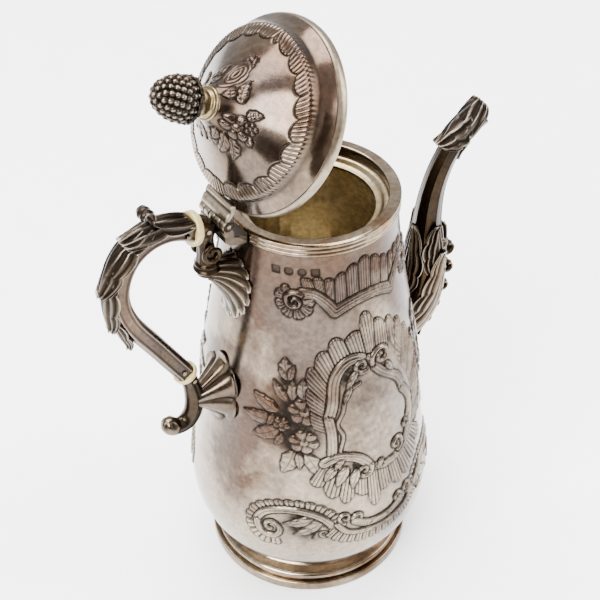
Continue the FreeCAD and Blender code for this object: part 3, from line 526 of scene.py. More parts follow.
def lower_border(relief):
    for side in (1, -1):
        flip = side < 0
        relief.scallops(body_curve(BORDER_EDGE, flip, 90), 15, 4.2, side, 2, 0.8)
        relief.pool(spot(-127, 57, flip), 8.5, 1.3)
        for base, tip, width in BORDER_LEAVES:
            relief.leaf(*on_body([base, tip], flip), width, 4, 1.1, 0.18 * side, 0.1)
        relief.band(body_curve(BORDER_ARCH, flip), 2.0, 1.2, 1)
        eye = spot(-143.5, 53.5, flip)
        relief.band(spiral(eye, 6.6, 90 + 75 * side, 1.35 * side, inner=0.15), 1.9, 1.2, 1, 0.5)
        for turn, height, size, start, turns in BORDER_CURLS:
            first = 180 - start if flip else start
            relief.band(spiral(spot(turn, height, flip), size, first, turns * side, 0.2), 1.2, 1.2, 0, 0.4)
    hem = mirrored([(-114, 54), (-109, 49.5), (-101, 46.8), (-90, 45.8)])
    relief.scallops(body_curve(hem, count=90), 15, 5.6, -1, 2, 0.8)
    relief.band(body_curve(mirrored([(-112, 56), (-108, 51), (-99, 48), (-90, 47.3)])), 1.6, 1.2, 1)
    relief.band(body_curve(mirrored([(-103, 55.5), (-97, 52.3), (-90, 51.5)])), 2.2, 1.1, 3)


def tarnish_and_shade_by_relief(height, dark):
    """Adds dark round the sides of raised work: tarnishing gathered there, and painted shade like ambient
    occlusion.
    """
    low = soften(height, 3) - height
    wide = soften(height, 9) - height
    return np.clip(np.maximum(dark, 2.1 * low) + 0.6 * np.clip(wide, 0, 1), 0, 1)


def punch_marks(relief):
    for index, corners in enumerate((6, 2.5, 2, 6)):
        relief.mark(spot(-147 + 8.3 * index, 191.2), 1.75, corners)


def body_relief(turns, heights, punched):
    """One side's relief; the other side is its mirror image, but for the punches."""
    radius = body_radius(heights)
    x = np.radians(turns + 90)[None, :] * radius[:, None]
    y = np.repeat(heights[:, None], len(turns), 1)
    relief = Relief(x, y)
    relief.stain(spot(-92, 112), (17, 27), 0.42)
    relief.stain(spot(-92, 176), (34, 12), 0.30)
    relief.stain(spot(-60, 140), (26, 50), 0.25)
    flower_spray(relief, False)
    flower_spray(relief, True)
    upper_band(relief)
    lower_border(relief)
    cartouche(relief)
    if punched:
        punch_marks(relief)
    return relief.grids()


# ---- meshes

def rings_mesh(name, rings, body, material, dark=None, loop=False, replaces=()):
    """Closed mesh through rings of points (mm). Each ring closes on itself; loop joins last to first."""
    rows, cols, _ = rings.shape
    points = rings.reshape(-1, 3) * MM
    shade = np.zeros(len(points)) if dark is None else dark.reshape(-1)
    i = np.arange(rows if loop else rows - 1)[:, None]
    j = np.arange(cols)[None, :]
    i2 = (i + 1) % rows
    j2 = (j + 1) % cols
    quads = np.stack([i * cols + j, i * cols + j2, i2 * cols + j2, i2 * cols + j], -1).reshape(-1, 4)
    u = np.stack([j + 0 * i, j + 1 + 0 * i, j + 1 + 0 * i, j + 0 * i], -1).reshape(-1, 4) / cols
    v = np.stack([i + 0 * j, i + 0 * j, i + 1 + 0 * j, i + 1 + 0 * j], -1).reshape(-1, 4) / rows
    v = 0.02 + 0.96 * v
    triangles = np.zeros((0, 3), int)
    tri_u = np.zeros((0, 3))
    tri_v = np.zeros((0, 3))
    if not loop:
        ends = np.stack([rings[0].mean(0), rings[-1].mean(0)]) * MM
        first = len(points)
        points = np.concatenate([points, ends])
        shade = np.concatenate([shade, [shade[:cols].mean(), shade[-cols:].mean()]])
        a = np.arange(cols)
        b = (a + 1) % cols
        top = (rows - 1) * cols
        triangles = np.concatenate([np.stack([b, a, 0 * a + first], 1),
                                    np.stack([a + top, b + top, 0 * a + first + 1], 1)])
        tri_u = np.concatenate([np.stack([a + 1, a, a + 0.5], 1), np.stack([a, a + 1, a + 0.5], 1)]) / cols
        tri_v = np.concatenate([np.repeat([[0.02, 0.02, 0.0]], cols, 0),
                                np.repeat([[0.98, 0.98, 1.0]], cols, 0)])
    return make_mesh(name, points, quads, triangles, np.concatenate([u.ravel(), tri_u.ravel()]),
                     np.concatenate([v.ravel(), tri_v.ravel()]), shade, body, material, replaces)


def signed_volume(points, quads, triangles):
    split = np.concatenate([quads[:, [0, 1, 2]], quads[:, [0, 2, 3]], triangles])
    a, b, c = points[split[:, 0]], points[split[:, 1]], points[split[:, 2]]
    return np.einsum("ij,ij->i", a, np.cross(b, c)).sum()


def make_mesh(name, points, quads, triangles, u, v, shade, body, material, replaces):
    if signed_volume(points, quads, triangles) < 0:
        quads = quads[:, ::-1]
        triangles = triangles[:, ::-1]
        split = 4 * len(quads)
        u = np.concatenate([u[:split].reshape(-1, 4)[:, ::-1].ravel(),
                            u[split:].reshape(-1, 3)[:, ::-1].ravel()])
        v = np.concatenate([v[:split].reshape(-1, 4)[:, ::-1].ravel(),
                            v[split:].reshape(-1, 3)[:, ::-1].ravel()])
    mesh = bpy.data.meshes.new(name)
    corners = np.concatenate([quads.ravel(), triangles.ravel()]).astype(np.int32)
    starts = np.concatenate([np.arange(len(quads)) * 4, len(quads) * 4 + np.arange(len(triangles)) * 3])
    mesh.vertices.add(len(points))
    mesh.vertices.foreach_set("co", points.ravel())
    mesh.loops.add(len(corners))
    mesh.loops.foreach_set("vertex_index", corners)
    mesh.polygons.add(len(starts))
    mesh.polygons.foreach_set("loop_start", starts.astype(np.int32))
    mesh.update(calc_edges=True)
    mesh.polygons.foreach_set("use_smooth", np.ones(len(starts), bool))
    # per-vertex attribute: tarnishing and painted shade (positive), rubbed wear and painted highlight
    # (negative)
    mesh.attributes.new("tarnish_and_painted_light", "FLOAT", "POINT").data.foreach_set("value", shade.astype(np.float32))
    layer = mesh.uv_layers.new(name="OFBake")
    layer.data.foreach_set("uv", np.stack([u, v], 1).ravel().astype(np.float32))
    mesh.materials.append(material)
    piece = bpy.data.objects.new(name, mesh)
    bpy.context.scene.collection.objects.link(piece)
    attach(piece, body)
    if replaces:
        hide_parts(*replaces)
    return piece


def opened(points):
    """Turns points of the closed lid about the hinge to the open rest pose."""
    d = points - HINGE
    c, s = math.cos(LID_OPEN), math.sin(LID_OPEN)
    x = d[..., 0] * c - d[..., 2] * s
    z = d[..., 0] * s + d[..., 2] * c
    return np.stack([x, d[..., 1], z], -1) + HINGE


def turned(profile, count, wobble, seed):
    """Rings of a closed outline (radius, height) turned about Z, with faint hand-work unevenness."""
    angle = whole_turn(count)
    uneven = wobble * waves(np.cos(angle) * 30, np.sin(angle) * 30, seed, 40)
    return about_axis(profile[None, :, 0] + uneven[:, None], angle[:, None], profile[None, :, 1])


def turned_piece(name, profile, shade, count, hand, body, material, node):
    """Piece turned from a closed outline that stands for one CAD node; hand is its wobble and seed."""
    rings = turned(profile, count, *hand)
    placed = opened(rings) if body == "lid" else rings
    rings_mesh(name, placed, body, material, np.repeat(shade[None], count, 0), True, (node,))


def beside(line, out, up, y):
    """Points off a line in the XZ plane: up along its outward vectors, and y to the side."""
    return np.stack([line[..., 0] + out[..., 0] * up, y, line[..., 1] + out[..., 1] * up], -1)


def outline(*parts):
    """Closed outline from straight and curved parts; each part is a list of points and a count."""
    runs = []
    for points, count in parts:
        runs.append((smooth(points, count) if len(points) > 2 else evenly(np.array(points, float),
                                                                          count))[:-1])
    return np.concatenate(runs)


def sweep(path, depths, widths, shape, around, rings):
    """Rings along a path in the XZ plane. shape(angle, share) scales the section; 90 degrees is outward."""
    line = smooth(path, rings)
    a, s = np.meshgrid(whole_turn(around), np.linspace(0, 1, rings))
    depth = np.interp(s, np.linspace(0, 1, len(depths)), depths)
    width = np.interp(s, np.linspace(0, 1, len(widths)), widths)
    scale, shade = shape(a, s)
    return beside(line[:, None], left_of(line)[:, None], np.sin(a) * depth * scale,
                  np.cos(a) * width * scale), shade


# ---- materials

class Nodes:
    """Short forms for building a material's nodes."""

    def __init__(self, name):
        self.material = bpy.data.materials.new(name)
        self.material.use_nodes = True
        self.tree = self.material.node_tree
        self.shader = self.tree.nodes["Principled BSDF"]

    def add(self, kind, **values):
        node = self.tree.nodes.new(kind)
        for key, value in values.items():
            setattr(node, key, value)
        return node

    def link(self, out, into):
        self.tree.links.new(out, into)

    def place(self):
        return self.add("ShaderNodeTexCoord").outputs["Object"]

    def noise(self, scale, detail=4.0, rough=0.55, stretch=None):
        source = self.place()
        if stretch:
            mapping = self.add("ShaderNodeMapping")
            mapping.inputs["Scale"].default_value = stretch
            self.link(source, mapping.inputs["Vector"])
            source = mapping.outputs["Vector"]
        node = self.add("ShaderNodeTexNoise")
        node.inputs["Scale"].default_value = scale
        node.inputs["Detail"].default_value = detail
        node.inputs["Roughness"].default_value = rough
        self.link(source, node.inputs["Vector"])
        return node.outputs["Fac"]

    def ramp(self, value, stops):
        node = self.add("ShaderNodeValToRGB")
        ramp = node.color_ramp
        while len(ramp.elements) < len(stops):
            ramp.elements.new(0.5)
        for element, (at, colour) in zip(ramp.elements, stops):
            element.position = at
            element.color = (*colour, 1) if len(colour) == 3 else colour
        self.link(value, node.inputs["Fac"])
        return node.outputs["Color"]

    def math(self, kind, a, b=None, clamp=False):
        node = self.add("ShaderNodeMath", operation=kind, use_clamp=clamp)
        for socket, value in zip(node.inputs, (a, b)):
            if value is None:
                continue
            if isinstance(value, (int, float)):
                socket.default_value = value
            else:
                self.link(value, socket)
        return node.outputs["Value"]

    def mix(self, fac, a, b):
        node = self.add("ShaderNodeMix", data_type="RGBA")
        for socket, value in ((node.inputs["Factor"], fac), (node.inputs["A"], a), (node.inputs["B"], b)):
            if isinstance(value, (int, float)):
                socket.default_value = value
            elif isinstance(value, tuple):
                socket.default_value = (*value, 1)
            else:
                self.link(value, socket)
        return node.outputs["Result"]

    def tarnish_and_painted_light(self):
        return self.add("ShaderNodeAttribute", attribute_name="tarnish_and_painted_light").outputs["Fac"]

    def bump(self, height, distance, strength=1.0):
        node = self.add("ShaderNodeBump")
        node.inputs["Distance"].default_value = distance
        node.inputs["Strength"].default_value = strength
        self.link(height, node.inputs["Height"])
        self.link(node.outputs["Normal"], self.shader.inputs["Normal"])


# black that positive attribute values darken towards: tarnishing and painted shade
TARNISH_AND_SHADE_BLACK = (0.008, 0.006, 0.0045)
# colour that negative attribute values lighten towards: rubbed wear and painted highlight
POLISH_AND_HIGHLIGHT = (0.30, 0.26, 0.21)


def silver(name, pale, patch, cold, stain, rough, rise=0.0):
    """Old silver: pale metal, tarnished patches, and dark hollows and bright edges from a per-vertex
    attribute: the dark is tarnishing and painted shade, the bright is rubbed wear and painted highlight.
    """
    n = Nodes(name)
    split = n.add("ShaderNodeSeparateXYZ")
    n.link(n.place(), split.inputs["Vector"])
    zone = n.math("MULTIPLY", n.math("SUBTRACT", split.outputs["Z"], 0.11), rise)
    broad = n.math("ADD", n.noise(17.0, 5.0, 0.6), zone)
    cool = n.noise(26.0, 4.0, 0.6, (1, 1, 0.45))
    fine = n.noise(420.0, 5.0, 0.65)
    specks = n.noise(1500.0, 2.0, 0.5)
    warm_mask = n.ramp(broad, [(0.40, (0, 0, 0)), (0.57, (1, 1, 1))])
    cold_mask = n.ramp(cool, [(0.44, (0, 0, 0)), (0.64, (1, 1, 1))])
    colour = n.mix(n.math("MULTIPLY", warm_mask, stain), pale, patch)
    colour = n.mix(n.math("MULTIPLY", cold_mask, stain * 0.7), colour, cold)
    mottled = n.ramp(fine, [(0.40, (0.66, 0.64, 0.62)), (0.60, (1, 1, 1))])
    toned = n.add("ShaderNodeMix", data_type="RGBA", blend_type="MULTIPLY")
    toned.inputs["Factor"].default_value = 0.8
    n.link(colour, toned.inputs["A"])
    n.link(mottled, toned.inputs["B"])
    state = n.tarnish_and_painted_light()
    # positive values: tarnishing and painted shade; negative values: rubbed bright edges and painted
    # highlight
    hollow = n.math("MAXIMUM", state, 0.0)
    polish_and_highlight = n.math("MULTIPLY", n.math("MINIMUM", state, 0.0), -1.0, True)
    spotted = n.math("MULTIPLY", hollow, n.math("ADD", n.math("MULTIPLY", specks, 0.5), 0.75), True)
    bright = n.mix(polish_and_highlight, toned.outputs["Result"], POLISH_AND_HIGHLIGHT)
    n.link(n.mix(spotted, bright, TARNISH_AND_SHADE_BLACK), n.shader.inputs["Base Color"])
    n.shader.inputs["Metallic"].default_value = 1.0
    worn = n.math("ADD", n.math("MULTIPLY", broad, 0.16), rough - 0.08)
    worn = n.math("ADD", worn, n.math("MULTIPLY", fine, 0.08))
    n.link(n.math("ADD", worn, n.math("MULTIPLY", hollow, 0.28)), n.shader.inputs["Roughness"])
    n.bump(n.math("ADD", n.math("MULTIPLY", fine, 0.6), n.math("MULTIPLY", specks, 0.4)), 0.00006, 0.5)
    return n.material


def ivory():
    n = Nodes("aged_ivory")
    grain = n.noise(160.0, 6.0, 0.6, (1, 1, 5))
    stains = n.noise(420.0, 3.0, 0.6)
    colour = n.ramp(grain, [(0.30, (0.33, 0.23, 0.08)), (0.55, (0.42, 0.33, 0.14)),
                            (0.75, (0.50, 0.42, 0.22))])
    spots = n.ramp(stains, [(0.63, (0, 0, 0)), (0.72, (1, 1, 1))])
    n.link(n.mix(n.math("MULTIPLY", spots, 0.55), colour, (0.42, 0.27, 0.12)),
           n.shader.inputs["Base Color"])
    n.link(n.math("ADD", n.math("MULTIPLY", stains, 0.2), 0.24), n.shader.inputs["Roughness"])
    n.shader.inputs["Subsurface Weight"].default_value = 0.12
    n.shader.inputs["Subsurface Radius"].default_value = (0.004, 0.003, 0.0015)
    n.bump(grain, 0.00008, 0.4)
    return n.material


def floor_paint():
    n = Nodes("floor_paint")
    grain = n.noise(30.0, 3.0)
    colour = n.ramp(grain, [(0.3, (0.90, 0.90, 0.90)), (0.7, (0.93, 0.93, 0.93))])
    n.link(colour, n.shader.inputs["Base Color"])
    n.shader.inputs["Roughness"].default_value = 0.7
    return n.material


SILVER = silver("worn_silver", (0.345, 0.284, 0.216), (0.074, 0.045, 0.030), (0.086, 0.070, 0.062), 1.0,
                0.16, rise=1.6)
FOOT_SILVER = silver("polished_foot_silver", (0.34, 0.275, 0.20), (0.10, 0.055, 0.026),
                     (0.20, 0.165, 0.125), 0.95, 0.10)
LID_SILVER = silver("tarnished_lid_silver", (0.235, 0.180, 0.128), (0.075, 0.044, 0.027),
                    (0.070, 0.056, 0.050), 1.0, 0.11)
DARK = silver("dark_cast_silver", (0.052, 0.037, 0.022), (0.028, 0.017, 0.009), (0.020, 0.019, 0.018), 1.0,
              0.22)
GRIP = silver("dark_grip_silver", (0.050, 0.035, 0.022), (0.125, 0.083, 0.060), (0.026, 0.025, 0.028), 0.9,
              0.25)
MOUNT_SILVER = silver("bright_cast_silver", (0.22, 0.180, 0.130), (0.080, 0.050, 0.028),
                      (0.068, 0.060, 0.060), 0.9, 0.15)
GILT = silver("yellowed_silver", (0.44, 0.365, 0.23), (0.22, 0.15, 0.062), (0.24, 0.205, 0.145), 0.9, 0.24)
# lighter copy of the gilt for the body's inside: painted light standing in for the light that reaches in
INSIDE_PAINTED_BRIGHT = silver("yellowed_inside_silver_painted_bright", (0.82, 0.73, 0.52), (0.62, 0.50, 0.29), (0.72, 0.64, 0.47), 0.9,
                0.34)
HINGE_SILVER = silver("pale_hinge_silver", (0.37, 0.315, 0.24), (0.19, 0.14, 0.085), (0.21, 0.18, 0.145),
                      0.8, 0.25)
IVORY = ivory()


# ---- parts of castings

def cast(name, rings, shade=None, material=DARK, replaces=()):
    return rings_mesh(name, rings, "pot", material, shade, replaces=replaces)


LEAF_THICKNESS = 1.0


def ribbed_leaf(name, path, span, spread, lift, sizes, lobes, turn, roll=0.0, tip=0.55, curl=0.0,
                material=DARK, replaces=()):
    """Lobed leaf wrapped on a swept bar. Its midrib lies at turn; spread is half its width in degrees."""
    line = smooth(path, 200)
    u = np.linspace(0, 1, 90)[:, None]
    v = np.linspace(-1, 1, 49)[None, :]
    whole = np.arange(200)
    last = whole[-1]
    back = np.clip((span[0] + (span[1] - span[0]) * u) * last - 9.0 * np.abs(v) ** 1.6 * (1 - u), 0, last)
    curves = (line, left_of(line))
    at, out = (np.stack([np.interp(back, whole, curve[:, k]) for k in (0, 1)], -1) for curve in curves)
    depth, breadth = (np.interp(back / last, np.linspace(0, 1, len(size)), size) for size in sizes)
    form = np.sin(math.pi * np.clip(u * (1 - 0.14) + 0.10, 0, 1)) ** tip
    teeth = 0.80 + 0.20 * np.abs(np.sin(math.pi * lobes * u)) ** 0.5
    angle = np.radians(turn + roll * u + spread * form * teeth * v)
    veins = 0.5 + 0.5 * np.cos(2 * math.pi * (2.6 * np.abs(v) + 1.1 * u + 0.5))
    rib = np.exp(-(v * spread / 9) ** 2)
    edge = np.clip((np.maximum(np.abs(v), u) - 0.91) / 0.09, 0, 1)
    flare = curl * np.clip(u - 0.72, 0, 1) ** 2 * 12
    raised = lift * (0.25 + 0.75 * u) + 0.8 * (1 - veins) ** 0.8 + 0.7 * rib + 0.7 * edge * u + flare
    # dark between the veins; negative on vein ridges and the raised rim: rubbed bright edges, partly painted
    # highlight
    shade = np.clip(0.95 * veins ** 2 * (1 - edge) - 0.25 * (1 - veins) ** 4, -1, 1) - 0.75 * edge ** 2
    top, under = (beside(at, out, np.sin(angle) * (depth + r), np.cos(angle) * (breadth + r))
                  for r in (raised, raised - LEAF_THICKNESS))
    cast(name, np.concatenate([top, under[:, ::-1]], 1), np.concatenate([shade, np.ones_like(shade)], 1),
         material,
         replaces)


def curl_line(centre, start, end, radii, stalk):
    """Curve in the XZ plane: a stalk, then a roll round the centre between two angles."""
    angle = np.radians(np.linspace(start, end, 13))
    radius = np.linspace(radii[0], radii[1], 13)
    roll = np.stack([centre[0] + radius * np.cos(angle), centre[1] + radius * np.sin(angle)], 1)
    return [tuple(np.array(centre) + np.array(step)) for step in stalk] + [tuple(point) for point in roll]


def make_roll(name, points, half_width, thickness):
    """Ribbed ribbon of metal along a curve in the XZ plane, as wide as half_width to each side."""
    curve = smooth(points, 70)
    turn = whole_turn(48)
    rings = []
    shades = []
    for index, (point, out) in enumerate(zip(curve, left_of(curve))):
        share = index / (len(curve) - 1)
        y = half_width * (1 - 0.3 * share) * np.sign(np.cos(turn)) * np.abs(np.cos(turn)) ** 0.8
        up = thickness * np.sin(turn) + 0.3 * thickness * np.cos(y * 2.4) * share
        rings.append(beside(point, out, up, y))
        # negative at the outer edges: rubbed bright edges, partly painted highlight
        shades.append(0.6 * (0.5 - 0.5 * np.cos(y * 2.4)) - 0.7 * (np.abs(y) > 0.9 * np.abs(y).max()))
    cast(name, np.array(rings), np.array(shades))


def make_volute(name, centre, radius, turns, wire, side, material):
    """Flat C-scroll lying on the side of a casting, in the XZ plane."""
    line = spiral((centre[0], centre[2]), radius, 95, turns, 0.3, 70)
    angle = whole_turn(20)
    rings = []
    for index, (point, out) in enumerate(zip(line, left_of(line))):
        size = wire * (0.55 + 0.45 * math.sin(math.pi * min(1, 0.15 + index / 80)))
        rings.append(beside(point, out, size * np.cos(angle),
                            centre[1] + side * size * 0.9 * np.sin(angle)))
    cast(name, np.array(rings), np.repeat((0.5 - 0.5 * np.sin(angle))[None] * 0.5, len(line), 0), material)


def pin_disc(centre, radius, thickness):
    """Slightly domed pin head on the side of the handle."""
    angle = whole_turn(24)
    steps = ((1.0, -thickness), (1.0, 0.0), (0.85, 0.3 * thickness), (0.45, 0.5 * thickness),
             (0.08, 0.55 * thickness))
    rings = []
    for r, out in steps:
        y = centre[1] + math.copysign(1, centre[1]) * out
        rings.append(np.stack([centre[0] + radius * r * np.cos(angle), 0 * angle + y,
                               centre[2] + radius * r * np.sin(angle)], 1))
    return np.array(rings)


# ---- body, mouth and foot

def both_sides(near, far):
    return np.concatenate([near, far[:, -2:0:-1]], 1)


def lifted_off(line, out, amount):
    """Radius and height of a turned line whose points move out by an amount that changes round it."""
    return line[:, 0, None] + out[:, 0, None] * amount, line[:, 1, None] + out[:, 1, None] * amount


def line_inside(piece, material, first, bottom=0):
    """Gives the faces from the first one on another material, but not the bottom's cap."""
    piece.data.materials.append(material)
    index = np.zeros(len(piece.data.polygons), np.int32)
    index[first:] = 1
    if bottom:
        index[-2 * bottom:-bottom] = 0
    piece.data.polygons.foreach_set("material_index", index)


def make_body():
    columns, rows, skip = 720, 380, 4
    outer = smooth(body_profile(), rows)
    half = np.linspace(-180, 0, columns // 2 + 1)
    near, near_dark = body_relief(half, outer[:, 1], True)
    far, far_dark = body_relief(half, outer[:, 1], False)
    height = both_sides(near, far)
    # tarnishing plus painted shade round the raised chasing
    dark = tarnish_and_shade_by_relief(height, both_sides(near_dark, far_dark))
    angle = np.radians(np.linspace(-180, 180, columns, endpoint=False))
    dents = 0.10 * waves(angle[None, :] * 45, outer[:, 1, None], 3, 60, 2)
    lifted = 0.95 * height + dents * np.clip((NECK_TOP - outer[:, 1]) / 20, 0, 1)[:, None]
    out = -left_of(outer)
    r, z = lifted_off(outer, out, lifted)
    inner = (outer[::-1] - out[::-1] * WALL)[::skip]
    inner[-1] = (SEAT_RADIUS - WALL - 1.0, SEAT_HEIGHT + WALL)
    inner[0, 1] = NECK_TOP
    soft = soften(lifted)[::-1][::skip]
    r_all = np.concatenate([r, inner[:, 0, None] + soft])
    z_all = np.concatenate([z, inner[:, 1, None] + 0 * soft])
    shade = np.concatenate([dark, 0.25 * soften(dark)[::-1][::skip]])
    piece = rings_mesh("body_shell_chased", about_axis(r_all, angle, z_all), "pot", SILVER, shade,
                       replaces=("body_shell",))
    line_inside(piece, INSIDE_PAINTED_BRIGHT, rows * columns, columns)


def soften(field, reach=4):
    """Box blur, wrapped round the columns."""
    total = np.zeros_like(field)
    for shift in range(-reach, reach + 1):
        total += np.roll(field, shift, 1)
    total /= 2 * reach + 1
    padded = np.pad(total, ((reach, reach), (0, 0)), "edge")
    return sum(padded[k:k + len(field)] for k in range(2 * reach + 1)) / (2 * reach + 1)


def make_rim():
    bore = MOUTH_BORE
    reed = (RIM_TOP - NECK_TOP) / 3
    root = RIM_RADIUS - reed / 3
    runs = [([(bore, NECK_TOP), (root - 0.2, NECK_TOP)], 6)]
    for index in range(3):
        low = NECK_TOP + index * reed
        top = low + reed - (0.15 if index == 2 else 0)
        runs.append(([(root, low), (RIM_RADIUS - 0.12, low + 0.2 * reed), (RIM_RADIUS, low + 0.5 * reed),
                      (RIM_RADIUS - 0.12, low + 0.8 * reed), (root, top)], 12))
    runs += [([(root, RIM_TOP - 0.15), (root - 0.4, RIM_TOP)], 3),
             ([(root - 0.4, RIM_TOP), (bore + 0.3, RIM_TOP)], 6),
             ([(bore + 0.3, RIM_TOP), (bore, RIM_TOP - 0.3)],
              3), ([(bore, RIM_TOP - 0.3), (bore, NECK_TOP)], 6)]
    profile = outline(*runs)
    outside = (profile[:, 1] < RIM_TOP - 0.3) * (profile[:, 0] > bore + 2)
    depth = np.clip((RIM_RADIUS - 0.30 - profile[:, 0]) / 0.4, 0, 1) * outside
    turned_piece("rim_moulding_reeded", profile, depth * 0.8, 240, (0.03, 1), "pot", FOOT_SILVER,
                 "rim_moulding")


def make_foot():
    edge = FOOT_RADIUS
    bore = edge - 4.9
    band = 4.8
    root = edge - 2.85
    mid = (band + FOOT_TOP) / 2
    profile = outline(([(bore, 0), (edge - 0.5, 0)], 6), ([(edge - 0.5, 0), (edge, 0.5)], 3),
                      ([(edge, 0.5), (edge - 0.05, band - 0.7)], 6),
                      ([(edge - 0.05, band - 0.7), (edge - 0.3, band - 0.2), (edge - 0.9, band)], 5),
                      ([(edge - 0.9, band), (root, band)], 5),
                      ([(root, band), (root + 0.75, band + 0.6), (root + 0.98, mid),
                        (root + 0.7, FOOT_TOP - 0.6),
                        (root, FOOT_TOP)], 14),
                      ([(root, FOOT_TOP), (bore, FOOT_TOP)], 5), ([(bore, FOOT_TOP), (bore, 0)], 8))
    groove = np.exp(-((profile[:, 0] - root) / 0.35) ** 2) * np.exp(-((profile[:, 1] - band) / 0.5) ** 2)
    turned_piece("foot_rim_moulding", profile, groove * 0.9, 240, (0.04, 4), "pot", FOOT_SILVER,
                 "foot_rim")
    low = (root, FOOT_TOP)
    bend = (SEAT_RADIUS + 0.25 * (root - SEAT_RADIUS), FOOT_TOP + 0.35 * (SEAT_HEIGHT - FOOT_TOP))
    cove = [low, bend, (SEAT_RADIUS, SEAT_HEIGHT + 0.1)]
    inner = [(x - 1.2, z) for x, z in cove[::-1]]
    profile = outline((cove, 24), ([cove[-1], inner[0]], 3), (inner, 16), ([inner[-1], low], 3))
    top = np.clip((profile[:, 1] - SEAT_HEIGHT + 0.8) / 0.8, 0, 1)
    bottom = np.clip((FOOT_TOP + 0.6 - profile[:, 1]) / 0.6, 0, 1)
    turned_piece("foot_pedestal_cove", profile, np.maximum(top, bottom) * 0.7, 240, (0.04, 5), "pot",
                 FOOT_SILVER, "foot_pedestal")


def make_bezel():
    bore = MOUTH_BORE
    top = RIM_TOP - 4.6
    steps = ((0, 0), (1.6, 0.3), (3.2, 1.8), (4.9, 2.3), (5.4, 2.4))
    face = [(bore - inward, top - down) for inward, down in steps]
    under = [(x, z - 1.2) for x, z in face[::-1]]
    profile = outline((face, 24), ([face[-1], under[0]], 4), (under, 12), ([under[-1], face[0]], 3))
    shade = np.exp(-((profile[:, 0] - bore) / 0.4) ** 2) * 0.6
    turned_piece("mouth_bezel_ogee", profile, shade, 200, (0.03, 6), "pot", GILT,
                 "mouth_bezel")


# ---- lid

LID_POOLS = ((-101, 13.5, 6.5), (-125, 15, 5), (-150, 12, 5.5), (6, 13.5, 7.5), (-42, 12.5, 5), (35, 13, 5))
LID_LEAVES = [((-60, 12), (-24, 16), 5.5), ((-50, 9.5), (-20, 11), 4), ((-122, 13), (-140, 20), 6),
              ((-125, 11), (-160, 17), 6), ((-150, 9), (-178, 14.5), 6), ((-135, 9), (-165, 12), 4),
              ((-82, 14), (-72, 19.5), 4.5), ((-104, 15.5), (-112, 20), 4), ((25, 15), (48, 19), 5),
              ((-8, 17), (-2, 22), 4), ((20, 9), (60, 11), 5), ((70, 8.5), (100, 12), 5)]


def on_lid(turn, out):
    return np.array([out * math.cos(math.radians(turn)), out * math.sin(math.radians(turn))])


def lid_relief(radius, turns):
    """Chasing on the dome, in plan; the side towards +Y mirrors the other."""
    r = np.repeat(radius[:, None], len(turns), 1)
    phi = np.repeat(np.radians(turns)[None, :], len(radius), 0)
    relief = Relief(r * np.cos(phi), r * np.sin(phi))
    flute_ring(relief, r.ravel(), phi.ravel())
    for turn, out, size in LID_POOLS:
        relief.pool(on_lid(turn, out), size, 0.85)
    for base, tip, width in LID_LEAVES:
        relief.leaf(on_lid(*base), on_lid(*tip), width, 4, 0.9, 0.15, 0.15)
    relief.daisy(on_lid(-101, 12.6), 5.2, 6, 0.2, 1.0)
    relief.daisy(on_lid(-92, 16.6), 2.6, 5, 0.0, 0.8)
    relief.rose(on_lid(6, 13.5), 6.3)
    return relief.grids()


def flute_ring(relief, r, phi):
    """Slanting flutes round the shoulder, ending in lobes towards the finial."""
    lobes = 22
    outside, inside = 34.6, 28.3
    turn = (phi + math.pi) / (2 * math.pi) * lobes + (outside - r) * 0.045
    lobe = np.abs(np.sin(math.pi * turn)) ** 0.5
    edge = inside + 2.3 * (1 - lobe)
    within = (r < outside) & (r > edge)
    wave = 0.5 + 0.5 * np.cos(2 * math.pi * turn * 5)
    fade = np.clip((outside - r) / 1.0, 0, 1)
    relief.height += within * 0.55 * (0.4 + 0.6 * (1 - wave) ** 0.6) * fade
    relief.dark = np.maximum(relief.dark, within * 0.75 * wave ** 4 * fade)
    everywhere = slice(None)
    relief.score(everywhere, r - edge, 0.42, 0.25, 0.95)
    seam = np.abs(np.sin(math.pi * turn)) * 2.6
    relief.score(everywhere, seam, 0.42, 0.15, 0.85, within & (r < inside + 4.5))
    relief.score(everywhere, r - outside, 0.5, 0.2, 0.5)


def make_lid():
    columns, rows, skip = 720, 190, 5
    outer = smooth(LID_PROFILE, rows)
    height, dark = lid_relief(outer[:, 0], np.linspace(-180, 0, columns // 2 + 1))
    height = both_sides(height, height)
    # tarnishing plus painted shade round the raised chasing
    dark = tarnish_and_shade_by_relief(height, both_sides(dark, dark))
    out = -left_of(outer)
    lifted = 0.85 * height
    r, z = lifted_off(outer, out, lifted)
    inner = (outer[::-1] - out[::-1] * LID_WALL)[::skip]
    r_in, z_in = lifted_off(inner, out[::-1][::skip], soften(lifted)[::-1][::skip])
    peak = LID_PROFILE[-1][1]
    cap = np.array([[5.2, peak], [2.0, peak], [2.0, peak - 1.6], [5.0, peak - 1.6]])
    r_all = np.concatenate([r, np.repeat(cap[:, :1], columns, 1), np.maximum(r_in, 1.0)])
    z_all = np.concatenate([z, np.repeat(cap[:, 1:], columns, 1), z_in]) + LID_PLANE
    angle = np.radians(np.linspace(-180, 180, columns, endpoint=False))
    shade = np.concatenate([dark, np.zeros((len(cap), columns)), 0.25 * soften(dark)[::-1][::skip]])
    piece = rings_mesh("lid_dome_chased", opened(about_axis(r_all, angle, z_all)), "lid",
                       LID_SILVER, shade,
                       True, ("lid_dome",))
    line_inside(piece, GILT, (rows + 2) * columns)


